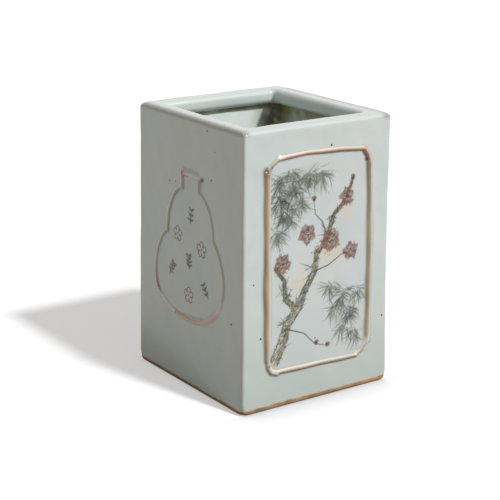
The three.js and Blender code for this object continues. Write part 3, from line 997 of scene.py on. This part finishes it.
def worn_rim(points):
    """Lowers the rim's far edges, as if rubbed, and its left side a little."""
    x, y, z = points[..., 0], points[..., 1], points[..., 2]
    inset = np.minimum(HALF_X - np.abs(x), HALF_Y - np.abs(y))
    edge = 1 - step_between(0.5, 5, inset)
    far = step_between(HALF_Y - 16, HALF_Y - 4, y)
    sag = RIM_SAG * step_between(HALF_X - 30, HALF_X - 10, -x)
    worn = points.copy()
    worn[..., 2] -= step_between(RIM_SEAM, HEIGHT - RIM_EDGE, z) * (RIM_WEAR * edge * far + sag)
    return worn


def add_rim(material):
    """The rim frame: rounded outer edge, level top, a lip rounded above and below, over the walls."""
    levels = [outer_level(RIM_SEAM - 1), outer_level(RIM_SEAM)]
    levels += levels_between(outer_level(RIM_SEAM), outer_level(HEIGHT - RIM_EDGE), 3)
    levels += [outer_level(HEIGHT - RIM_EDGE + rise, inset) for inset, rise in quarter(RIM_EDGE)]
    levels += levels_between(outer_level(HEIGHT, RIM_EDGE), mouth_level(HEIGHT, MOUTH_EDGE), 8)
    levels += [mouth_level(HEIGHT - MOUTH_EDGE + rise, out) for out, rise in quarter(MOUTH_EDGE, 9)[::-1]]
    underside = RIM_LOW + MOUTH_UNDERSIDE
    levels += levels_between(mouth_level(HEIGHT - MOUTH_EDGE), mouth_level(underside), 1)
    levels += [mouth_level(underside - rise, out) for out, rise in quarter(MOUTH_UNDERSIDE, 9)]
    levels += [(INNER_X, INNER_Y, 1.0, RIM_LOW), (INNER_X + 1, INNER_Y + 1, 1.0, RIM_LOW)]
    add_ring("glazed_rim_frame", "rim_frame", levels, [material], worn_rim)


def add_foot(material):
    """The foot frame: the recess inside, a level underside, and a rounded outer edge up to the walls."""
    top = foot_high[2]
    recess = (HALF_X - FOOT_WIDTH, HALF_Y - FOOT_WIDTH, RECESS_RADIUS)
    levels = [(*recess, top + 1), (*recess, top), (*recess, top / 2)]
    for out, drop in quarter(RECESS_EDGE):
        levels.append((recess[0] + out, recess[1] + out, RECESS_RADIUS + out, RECESS_EDGE - drop))
    levels += levels_between(levels[-1], outer_level(0, FOOT_EDGE), 3)
    levels += [outer_level(FOOT_EDGE - rise, inset) for inset, rise in quarter(FOOT_EDGE)[::-1]]
    levels += levels_between(outer_level(FOOT_EDGE), outer_level(FOOT_SEAM), 2)
    levels += [outer_level(FOOT_SEAM), outer_level(FOOT_SEAM + 1)]
    add_ring("fired_foot_frame", "foot_frame", levels, [material])


# Node trees


class Signal:
    """A number that changes over a surface, for use in plain arithmetic."""

    def __init__(self, nodes, socket):
        self.nodes, self.socket = nodes, socket

    def combine(self, operation, *values):
        node = self.nodes.add("ShaderNodeMath", {"operation": operation}, dict(enumerate(values)))
        return Signal(self.nodes, node.outputs[0])

    def __add__(self, other):
        return self.combine("ADD", self, other)

    __radd__ = __add__

    def __sub__(self, other):
        return self.combine("SUBTRACT", self, other)

    def __rsub__(self, other):
        return self.combine("SUBTRACT", other, self)

    def __mul__(self, other):
        return self.combine("MULTIPLY", self, other)

    __rmul__ = __mul__

    def __rtruediv__(self, other):
        return self.combine("DIVIDE", other, self)

    def at_least(self, other):
        return self.combine("MAXIMUM", self, other)

    def rising(self, low, high):
        """Goes smoothly from 0 at low to 1 at high."""
        settings = {"interpolation_type": "SMOOTHSTEP"}
        inputs = {"Value": self, "From Min": low, "From Max": high}
        return Signal(self.nodes, self.nodes.add("ShaderNodeMapRange", settings, inputs).outputs[0])


class Nodes:
    """A node tree under construction."""

    def __init__(self, tree):
        self.tree = tree
        self.tree.nodes.clear()

    def add(self, kind, settings, inputs):
        """Adds a node of a kind, with its settings and the values or links of its sockets."""
        node = self.tree.nodes.new(kind)
        for name, value in settings.items():
            setattr(node, name, value)
        for name, value in inputs.items():
            socket = node.inputs[name]
            value = value.socket if isinstance(value, Signal) else value
            if isinstance(value, bpy.types.NodeSocket):
                self.tree.links.new(value, socket)
            elif socket.type == "RGBA":
                socket.default_value = (*value, 1)
            else:
                socket.default_value = value
        return node

    def seen_directly(self):
        """1 for what the camera sees, mirrored or through glass too, and 0 for light on other things."""
        rays = self.add("ShaderNodeLightPath", {}, {}).outputs
        seen = Signal(self, rays["Is Camera Ray"]).at_least(Signal(self, rays["Is Glossy Ray"]))
        return seen.at_least(Signal(self, rays["Is Transmission Ray"]))


# Floor slab and coils


def add_floor_slab(material):
    """The floor: gently uneven on top, flat below, out to the walls."""
    grid_x, grid_y = np.meshgrid(np.linspace(-INNER_X, INNER_X, 44), np.linspace(-INNER_Y, INNER_Y, 48))
    top = np.stack([grid_x, grid_y, np.full(grid_x.shape, FLOOR_TOP)], axis=-1)
    top[..., 2] += sway(top)
    bottom = np.stack([grid_x, grid_y, np.full(grid_x.shape, slab_low[2])], axis=-1)
    quads = grid_faces(*grid_x.shape)
    count = grid_x.size
    loop = border(*grid_x.shape)
    following = np.roll(loop, -1)
    skirt = np.stack([following, loop, loop + count, following + count], axis=-1)
    upright = np.repeat([[0, 0, 1], [0, 0, -1]], count, axis=0)
    add_piece("glazed_floor_slab", "floor_slab",
              np.concatenate([top.reshape(-1, 3), bottom.reshape(-1, 3)]),
              np.concatenate([quads, quads[:, ::-1] + count, skirt]).tolist(), [material], upright)


COIL_LEG = 5.0  # how far a coil reaches along each of its two walls
COIL_TIP = 0.1  # thickness where a coil is smeared out on the wall
COIL_ROOT = 0.5  # how far its back is pressed into the seam
COIL_STEP = 1.5  # between the sections along it
COIL_UNEVENNESS = 0.16  # of its thickness, as a share
FINGER_WIDTH = 11  # length of a finger's dent
COIL_CREASE = math.radians(40)  # sharper edges than this aren't smoothed over


def coil_tree(material):
    """Geometry nodes that press a section along a straight seam, thick and thin as a finger leaves it."""
    tree = bpy.data.node_groups.new("pressed_coil", "GeometryNodeTree")
    tree.interface.new_socket("Section", in_out="INPUT", socket_type="NodeSocketGeometry")
    for name in ("Start", "End"):
        tree.interface.new_socket(name, in_out="INPUT", socket_type="NodeSocketVector")
    for name in ("Step", "Unevenness", "Finger width"):
        tree.interface.new_socket(name, in_out="INPUT", socket_type="NodeSocketFloat")
    tree.interface.new_socket("Coil", in_out="OUTPUT", socket_type="NodeSocketGeometry")
    nodes = Nodes(tree)
    given = nodes.add("NodeGroupInput", {}, {}).outputs
    line = nodes.add("GeometryNodeCurvePrimitiveLine", {}, {"Start": given["Start"], "End": given["End"]})
    stepped = nodes.add("GeometryNodeResampleCurve", {"mode": "LENGTH"},
                        {"Curve": line.outputs[0], "Length": given["Step"]})
    scale = 1 / Signal(nodes, given["Finger width"])
    fingers = nodes.add("ShaderNodeTexNoise", {}, {"Scale": scale, "Detail": 1})
    mean = 1 - COIL_UNEVENNESS / 2  # with the noise, which is a half on average, this makes 1
    thickness = Signal(nodes, fingers.outputs[0]) * Signal(nodes, given["Unevenness"]) + mean
    pressed = nodes.add("GeometryNodeSetCurveRadius", {}, {"Curve": stepped.outputs[0], "Radius": thickness})
    sweep = nodes.add("GeometryNodeCurveToMesh", {},
                      {"Curve": pressed.outputs[0], "Profile Curve": given["Section"], "Fill Caps": True})
    real = nodes.add("GeometryNodeRealizeInstances", {}, {"Geometry": sweep.outputs[0]})
    glazed = nodes.add("GeometryNodeSetMaterial", {}, {"Geometry": real.outputs[0], "Material": material})
    nodes.add("NodeGroupOutput", {}, {"Coil": glazed.outputs[0]})
    return tree


def coil_section(first_way, second_way):
    """A closed curve: a right angle whose long side is hollowed by a finger, turned to its seam."""
    corners = [(-COIL_ROOT, -COIL_ROOT), (COIL_LEG, -COIL_ROOT)]
    radius = COIL_LEG - COIL_TIP
    for angle in np.linspace(0, math.pi / 2, 13):
        corners.append((COIL_LEG - radius * math.sin(angle), COIL_LEG - radius * math.cos(angle)))
    corners.append((-COIL_ROOT, COIL_LEG))
    curve = bpy.data.curves.new("coil_section", "CURVE")
    curve.dimensions = "3D"
    spline = curve.splines.new("POLY")
    spline.points.add(len(corners) - 1)
    for point, (a, b) in zip(spline.points, corners):
        point.co = (first_way * a * MM, second_way * b * MM, 0, 1)
    spline.use_cyclic_u = True
    return bpy.data.objects.new("coil_section", curve)


def face_outwards(mesh):
    """Turns a closed mesh's faces outwards."""
    work = bmesh.new()
    work.from_mesh(mesh)
    bmesh.ops.recalc_face_normals(work, faces=work.faces)
    work.to_mesh(mesh)
    work.free()


def add_coil(node, tree, start, end, first_way, second_way):
    """Presses one coil into its seam, and keeps it as a plain mesh."""
    section = coil_section(first_way, second_way)
    bpy.context.scene.collection.objects.link(section)
    modifier = section.modifiers.new("press", "NODES")
    modifier.node_group = tree
    values = {
        "Start": [coordinate * MM for coordinate in start],
        "End": [coordinate * MM for coordinate in end],
        "Step": COIL_STEP * MM,
        "Unevenness": COIL_UNEVENNESS,
        "Finger width": FINGER_WIDTH * MM,
    }
    for item in tree.interface.items_tree:
        if item.name in values:
            modifier[item.identifier] = values[item.name]
    graph = bpy.context.evaluated_depsgraph_get()
    mesh = bpy.data.meshes.new_from_object(section.evaluated_get(graph))
    bpy.data.objects.remove(section)
    mesh.name = "pressed_" + node
    face_outwards(mesh)
    mesh.polygons.foreach_set("use_smooth", np.ones(len(mesh.polygons), bool))
    mesh.set_sharp_from_angle(angle=COIL_CREASE)
    place_piece(mesh, node)


def add_coils(material):
    """Upright coils in the four inner corners, and level ones along the floor's seams."""
    tree = coil_tree(material)
    corners = {"front_left": (-1, -1), "front_right": (1, -1), "back_right": (1, 1), "back_left": (-1, 1)}
    for corner, (way_x, way_y) in corners.items():
        x, y = way_x * INNER_X, way_y * INNER_Y
        add_coil("corner_coil_" + corner, tree, (x, y, FLOOR_TOP - 0.5), (x, y, RIM_LOW), -way_x, -way_y)
    reach_x, reach_y = INNER_X - COIL_LEG, INNER_Y - COIL_LEG
    seams = {
        "front": ((-reach_x, -INNER_Y), (reach_x, -INNER_Y), -1),
        "back": ((-reach_x, INNER_Y), (reach_x, INNER_Y), 1),
        "left": ((-INNER_X, -reach_y), (-INNER_X, reach_y), 1),
        "right": ((INNER_X, -reach_y), (INNER_X, reach_y), -1),
    }
    for side, (start, end, way) in seams.items():
        add_coil("floor_coil_" + side, tree, (*start, FLOOR_TOP), (*end, FLOOR_TOP), way, -1)


# Finishes


class Finish(Nodes):
    """A material under construction."""

    def __init__(self, name):
        self.material = bpy.data.materials.new(name)
        self.material.use_nodes = True
        super().__init__(self.material.node_tree)
        self.place = self.add("ShaderNodeTexCoord", {}, {}).outputs["Object"]

    def noise(self, size, detail=2):
        """Clouds from 0 to 1 whose features are about a size, in millimetres."""
        inputs = {"Vector": self.place, "Scale": 1 / (size * MM), "Detail": detail}
        return Signal(self, self.add("ShaderNodeTexNoise", {}, inputs).outputs["Fac"])

    def axis(self, name):
        """A coordinate of the place on the pot, in millimetres."""
        node = self.add("ShaderNodeSeparateXYZ", {}, {"Vector": self.place})
        return Signal(self, node.outputs[name]) * (1 / MM)

    def mix(self, share, first, second, way="MIX"):
        """A colour between two, or one laid on the other in another way."""
        inputs = {0: share, 6: first, 7: second}
        return self.add("ShaderNodeMix", {"data_type": "RGBA", "blend_type": way}, inputs).outputs[2]

    def near(self, point, radius, soft):
        """1 inside a radius of a point, and 0 past the soft edge round it."""
        inputs = {0: self.place, 1: [coordinate * MM for coordinate in point]}
        node = self.add("ShaderNodeVectorMath", {"operation": "DISTANCE"}, inputs)
        distance = Signal(self, node.outputs["Value"]) * (1 / MM)
        return 1 - distance.rising(radius - soft, radius + soft)

    def bump(self, height, depth, under=None):
        """Normals for a height from 0 to 1, which is a depth in millimetres."""
        inputs = {"Height": height, "Strength": 1.0, "Distance": depth * MM}
        if under is not None:
            inputs["Normal"] = under
        return self.add("ShaderNodeBump", {}, inputs).outputs["Normal"]

    def close(self, colour, roughness, normal):
        """Ends the material in one glossy shader."""
        inputs = {"Base Color": colour, "Roughness": roughness, "Normal": normal}
        shader = self.add("ShaderNodeBsdfPrincipled", {}, inputs)
        self.add("ShaderNodeOutputMaterial", {}, {"Surface": shader.outputs[0]})
        return self.material


GLAZE_COOL = srgb(198, 208, 209)
GLAZE_WARM = srgb(202, 209, 206)
GLAZE_DENSE = srgb(186, 198, 198)
GLAZE_FOOT = srgb(173, 184, 180)
GLAZE_TOP_SHADE = srgb(188, 197, 196)
RIM_EDGE_SHADE = srgb(148, 145, 141)
IRON = srgb(48, 42, 34)
INNER_PALE = srgb(227, 236, 235)
INNER_GREEN = srgb(218, 227, 223)
INNER_SHADE = srgb(136, 140, 116)
INK_STAIN_AND_SHADE = srgb(122, 110, 48)
STAIN = srgb(104, 94, 58)
DARK_STAIN_AND_SHADE = srgb(58, 48, 34)
THIN_GLAZE = srgb(198, 188, 166)
CLAY = srgb(162, 134, 102)
CLAY_DARK = srgb(126, 106, 80)
CLAY_FLASH = srgb(184, 128, 86)
CLAY_GRIT_AND_SHADE = srgb(110, 84, 60)
CLAY_SHADE = srgb(96, 82, 62)
CLAY_RED = srgb(176, 84, 52)

# Where the foot's left side burnt red: the middle, the radius and the softness of its edge
RED_SPOT = ((-HALF_X - 0.3, -HALF_Y + 7.5, 2.4), 3.2, 1.4)


def glaze_tint(finish):
    """Pale celadon whose tint drifts and is greyer towards the foot, with painted shade on the top of the rim
    and on its back, right and left edges.
    """
    across, back, height = finish.axis("X"), finish.axis("Y"), finish.axis("Z")
    tint = finish.mix(finish.noise(38, 2).rising(0.35, 0.65), GLAZE_COOL, GLAZE_WARM)
    low = 1 - height.rising(-25, 85)
    tint = finish.mix(low * 0.95, tint, GLAZE_FOOT)
    # Painted shade darkens the top of the rim
    top = height.rising(HEIGHT - 1.6, HEIGHT - 0.2)
    tint = finish.mix(top * 0.8, tint, GLAZE_TOP_SHADE)
    # Painted shade darkens the rim's back, right and left edges towards a grey
    outwards = (back - HALF_Y).at_least(across - HALF_X).at_least(-HALF_X - across)
    rubbed = outwards.rising(-8, -2) * height.rising(HEIGHT - 4, HEIGHT - 1.5)
    tint = finish.mix(rubbed * (0.65 + finish.noise(9, 2) * 0.3), tint, RIM_EDGE_SHADE)
    flecks = finish.noise(7, 3).rising(0.5, 0.75)
    return finish.mix(flecks * 0.25, tint, GLAZE_DENSE)


def glaze(name, specks=()):
    """The outer glaze, under whatever paint and enamel the surface carries, with iron specks in it."""
    finish = Finish(name)
    paint = finish.add("ShaderNodeAttribute", {"attribute_name": "paint"}, {})
    cover = Signal(finish, paint.outputs["Alpha"])
    ground = finish.mix(cover, glaze_tint(finish), (0, 0, 0))
    # The paint's colour is already multiplied by its cover
    coloured = finish.mix(1.0, ground, paint.outputs["Color"], "ADD")
    for point, radius in specks:
        coloured = finish.mix(finish.near(point, radius, radius * 0.35), coloured, IRON)
    orange_peel = finish.bump(finish.noise(2.6, 2), 0.012)
    normal = finish.bump(finish.noise(14, 1), 0.05, orange_peel)
    roughness = 0.16 + finish.noise(20, 2) * 0.08 + cover * 0.1
    return finish.close(coloured, roughness, normal)


def inner_glaze():
    """The glaze inside, stained olive and brown where ink and dust gathered in the far corner, with painted
    shade on the right wall, under the lip and deep in that corner.
    """
    finish = Finish("inner_glaze")
    across, back, height = finish.axis("X"), finish.axis("Y"), finish.axis("Z")
    tint = finish.mix(finish.noise(22, 3).rising(0.35, 0.7), INNER_PALE, INNER_GREEN)
    low = 1 - height.rising(40, 120)
    tint = finish.mix(low * 0.5, tint, INNER_GREEN)
    ragged = finish.noise(9, 4)
    right = across.rising(INNER_X - 1.5, INNER_X - 0.5)
    tint = finish.mix(right * ragged.rising(0.05, 0.5) * 0.8, tint, INNER_SHADE)
    # Olive ink stain and painted shade under the lip, which reach further down on the right wall
    lip_from, lip_to = float(RIM_LOW - 3.5), float(RIM_LOW - 0.5)
    stained_shaded_under_lip = height.rising(right * -5 + lip_from, right * -2 + lip_to)
    tint = finish.mix(stained_shaded_under_lip * finish.noise(11, 3).rising(0.3, 0.55) * 0.85, tint, INK_STAIN_AND_SHADE)
    towards_corner, corner = across + back, INNER_X + INNER_Y
    near_it = towards_corner.rising(corner - 22, corner - 1)
    tint = finish.mix(near_it * ragged.rising(0.3, 0.6) * 0.8, tint, STAIN)
    # Dark stain and painted shade deep in the far corner
    stained_shaded_corner = towards_corner.rising(corner - 9, corner - 2)
    tint = finish.mix(stained_shaded_corner * finish.noise(5, 4).rising(0.35, 0.6) * 0.8, tint, DARK_STAIN_AND_SHADE)
    flecks = finish.noise(3.5, 3).rising(0.66, 0.8)
    tint = finish.mix(flecks * 0.3, tint, STAIN)
    normal = finish.bump(finish.noise(5, 3), 0.05)
    return finish.close(tint, 0.24 + ragged * 0.1, normal)


def foot_clay():
    """Bare clay with a fired orange flush, grit, and painted shade on its left side and towards the ground,
    under glaze that thins out above it.
    """
    finish = Finish("bare_clay")
    across, height = finish.axis("X"), finish.axis("Z")
    wander = finish.noise(6, 4) * 1.6 - 0.8
    glaze_end = across.rising(-HALF_X + 0.3, -HALF_X + 5) * 0.3 + wander + 3.3
    below = glaze_end - height
    thin, bare = below.rising(-1.2, 0.6), below.rising(-0.1, 1.1)
    clay = finish.mix(finish.noise(8, 3).rising(0.35, 0.65), CLAY, CLAY_DARK)
    flush = finish.noise(15, 2).rising(0.52, 0.7).at_least(across.rising(18, 50) * 0.8)
    clay = finish.mix(flush * 0.45, clay, CLAY_FLASH)
    grit = finish.noise(0.8, 2)
    clay = finish.mix(grit.rising(0.6, 0.75) * 0.35, clay, CLAY_GRIT_AND_SHADE)
    # Painted shade darkens the clay towards the ground
    shaded_ground_edge = 1 - height.rising(0.3, 2.4)
    clay = finish.mix(shaded_ground_edge * 0.5, clay, CLAY_GRIT_AND_SHADE)
    # Painted shade darkens the clay on the left side
    shaded_left_side = 1 - across.rising(-HALF_X, -HALF_X + 2)
    clay = finish.mix(shaded_left_side * 0.6, clay, CLAY_SHADE)
    clay = finish.mix(finish.near(*RED_SPOT), clay, CLAY_RED)
    colour = finish.mix(thin * 0.9, glaze_tint(finish), THIN_GLAZE)
    colour = finish.mix(bare, colour, clay)
    rough_grain = finish.bump(grit * bare, 0.06)
    normal = finish.bump(finish.noise(14, 1), 0.05, rough_grain)
    return finish.close(colour, 0.2 + bare * 0.55, normal)


# Iron specks in the glaze: side, across, up and radius
SPECKS = {
    "left": [(18.4, 154.7, 0.8), (26.0, 144.2, 0.6), (-20.8, 119.2, 0.75),
             (-13.9, 120.1, 0.65), (22.7, 128.0, 0.8), (43.6, 51.1, 0.85)],
    "front": [(8.5, 146.5, 0.65), (-43.3, 75.2, 0.5), (-38.8, 43.6, 0.7),
              (47.6, 40.8, 0.6), (-1.1, 36.5, 0.5)],
    "right": [(-30, 139, 0.5), (22, 133, 0.6), (41, 88, 0.5), (-38, 54, 0.7), (12, 29, 0.5)],
    "back": [(-41, 128, 0.6), (24, 149, 0.5), (43, 66, 0.6), (-20, 15, 0.7)],
}


def speck_points(side, lowest, highest):
    """Where a side's specks between two heights lie on the pot."""
    shape = SIDES[side]
    found = []
    for across, up, radius in SPECKS[side]:
        if lowest <= up < highest:
            flat = np.array([across, -(shape["normal_half"] + lean(up)), up])
            found.append((turned(flat, shape["turn"]).tolist(), radius))
    return found


POOLED = srgb(128, 142, 134)
SHADE_ABOVE_LIP = srgb(118, 133, 137)
SHADE_IN_BULB = srgb(126, 138, 140)
PANEL_GROUND = srgb(198, 203, 212)
PAINT_MARGIN = 1.15  # the picture ends this many half widths from a strip's centre line
POOL_MIDDLE, POOL_WIDTH = 1.35, 0.35  # where glaze lies densest beside a strip, in half widths


def nearest_strip(shares):
    """Half widths from the nearest centre line."""
    return np.min(np.abs(np.stack(shares)), axis=0)


def pool_glaze(canvas, shares, strength):
    """Glaze lies denser in the fillets along the strips."""
    depth = np.exp(-(((nearest_strip(shares) - POOL_MIDDLE) / POOL_WIDTH) ** 2))
    canvas.lay(EVERYWHERE, POOLED, strength * depth)


def panel_painter(picture):
    """Paint for a framed panel: a faintly bluish ground, then the picture, kept inside the frame."""

    def paint(canvas, shares):
        inside = np.all(np.stack([share > 0 for share in shares]), axis=0)
        canvas.lay(EVERYWHERE, PANEL_GROUND, 0.3 * inside)
        picture(canvas)
        keep = inside & (nearest_strip(shares) > PAINT_MARGIN)
        canvas.colour *= keep[..., None]
        canvas.cover *= keep
        pool_glaze(canvas, shares, 0.35)

    return paint


def gourd_painter(canvas, shares):
    """The marks, and two soft grey strokes of painted shade: over the lip and inside the lower bulb."""
    paint_gourd(canvas)
    pool_glaze(canvas, shares, 0.2)
    # Painted shade above the lip and inside the lower bulb
    canvas.stroke([(-5, 129.2), (9.6, 128.7)], [2.2, 1.8], SHADE_ABOVE_LIP, 0.5, soft=1.4)
    arc = [(-7.4, 43.4), (5.2, 43.7), (14.8, 45.6)]
    canvas.stroke(arc, [1.0, 1.5, 1.2], SHADE_IN_BULB, 0.5, soft=1.0)


# Setting


def add_camera():
    """The photograph's view of the pot."""
    back = Vector((math.sin(VIEW_AZIMUTH) * math.cos(VIEW_ELEVATION),
                   -math.cos(VIEW_AZIMUTH) * math.cos(VIEW_ELEVATION), math.sin(VIEW_ELEVATION)))
    level = Vector((math.cos(VIEW_AZIMUTH), math.sin(VIEW_AZIMUTH), 0))
    upright = back.cross(level)
    right = math.cos(VIEW_ROLL) * level + math.sin(VIEW_ROLL) * upright
    up = back.cross(right)
    middle = Vector((0, 0, HEIGHT / 2))
    place = middle + back * VIEW_DISTANCE + right * VIEW_ASIDE + up * VIEW_UP
    camera = bpy.data.cameras.new("camera")
    camera.sensor_width = SENSOR
    camera.lens = FOCAL_PIXELS / PICTURE_PIXELS * SENSOR
    holder = bpy.data.objects.new("camera", camera)
    holder.matrix_world = Matrix.Translation(place * MM) @ Matrix((right, up, back)).transposed().to_4x4()
    bpy.context.scene.collection.objects.link(holder)
    bpy.context.scene.camera = holder


def add_sun(name, direction, floor_lit):
    """A soft sun that lights either the floor alone or all but the floor."""
    lamp = bpy.data.lights.new(name, "SUN")
    lamp.energy = KEY_STRENGTH
    lamp.angle = KEY_SOFTNESS
    holder = bpy.data.objects.new(name, lamp)
    holder.rotation_euler = direction.to_track_quat("Z", "Y").to_euler()
    bpy.context.scene.collection.objects.link(holder)
    lit = bpy.data.collections.new(name + "_lights")
    lit.objects.link(bpy.data.objects["floor"])
    lit.collection_objects[0].light_linking.link_state = "INCLUDE" if floor_lit else "EXCLUDE"
    holder.light_linking.receiver_collection = lit


def add_light():
    """A soft key from the front right and above, one for the pot and one for the floor, in a pale room."""
    add_sun("key", KEY_FROM, False)
    add_sun("floor_key", FLOOR_KEY_FROM, True)
    world = bpy.data.worlds.new("room")
    world.use_nodes = True
    nodes = Nodes(world.node_tree)
    room = nodes.add("ShaderNodeBackground", {}, {"Color": ROOM_COLOUR, "Strength": ROOM_STRENGTH})
    white = nodes.add("ShaderNodeBackground", {}, {"Color": (1, 1, 1), "Strength": 1.0})
    by_ray = {0: nodes.seen_directly(), 1: room.outputs[0], 2: white.outputs[0]}
    shown = nodes.add("ShaderNodeMixShader", {}, by_ray)
    nodes.add("ShaderNodeOutputWorld", {}, {"Surface": shown.outputs[0]})
    bpy.context.scene.world = world


def add_floor():
    """A pale floor that keeps the pot's shadow and runs on out of sight."""
    finish = Finish("pale_floor")
    bounce = finish.add("ShaderNodeBsdfDiffuse", {}, {"Color": FLOOR_BOUNCE})
    open_sky = finish.add("ShaderNodeAmbientOcclusion", {"samples": 8}, {"Distance": CONTACT_REACH * MM})
    closed = 1 - Signal(finish, open_sky.outputs["AO"]).rising(0.45, 0.97)
    in_front = 1 - finish.axis("Y").rising(-HALF_Y - 1, -HALF_Y + 2)
    glow_colour = finish.mix(closed * in_front * CONTACT_SHADE, (FLOOR_GLOW,) * 3, (0, 0, 0))
    matt = finish.add("ShaderNodeBsdfDiffuse", {}, {"Color": FLOOR_SHOWN})
    glow = finish.add("ShaderNodeEmission", {}, {"Color": glow_colour, "Strength": 1.0})
    pale = finish.add("ShaderNodeAddShader", {}, {0: matt.outputs[0], 1: glow.outputs[0]})
    by_ray = {0: finish.seen_directly(), 1: bounce.outputs[0], 2: pale.outputs[0]}
    shown = finish.add("ShaderNodeMixShader", {}, by_ray)
    finish.add("ShaderNodeOutputMaterial", {}, {"Surface": shown.outputs[0]})
    half, level = FLOOR_HALF * MM, -FLOOR_DROP * MM
    corners = [(-half, -half, level), (half, -half, level), (half, half, level), (-half, half, level)]
    mesh = bpy.data.meshes.new("floor")
    mesh.from_pydata(corners, [], [(0, 1, 2, 3)])
    mesh.materials.append(finish.material)
    floor = bpy.data.objects.new("floor", mesh)
    bpy.context.scene.collection.objects.link(floor)


def main():
    add_camera()
    add_floor()
    add_light()
    inside = inner_glaze()
    enamel = glaze("relief_enamel")
    for side, picture in (("front", paint_plum_and_bamboo), ("back", paint_bamboo)):
        strips = {place + "_strip": strip for place, strip in panel_strips(side).items()}
        materials = [glaze(side + "_glaze", speck_points(side, 0, RIM_SEAM)), inside]
        painter = panel_painter(picture)
        add_wall(side, "panel", strips, PANEL_STEP, PANEL_FINE, painter, materials, enamel)
    for side in ("left", "right"):
        materials = [glaze(side + "_glaze", speck_points(side, 0, RIM_SEAM)), inside]
        add_wall(side, "gourd", gourd_strips(), GOURD_STEP, GOURD_FINE, gourd_painter, materials, enamel)
    rim_specks = [speck for side in SIDES for speck in speck_points(side, RIM_SEAM, HEIGHT)]
    add_rim(glaze("rim_glaze", rim_specks))
    add_foot(foot_clay())
    add_floor_slab(inside)
    add_coils(inside)
    bpy.context.scene.view_settings.view_transform = "Standard"


main()
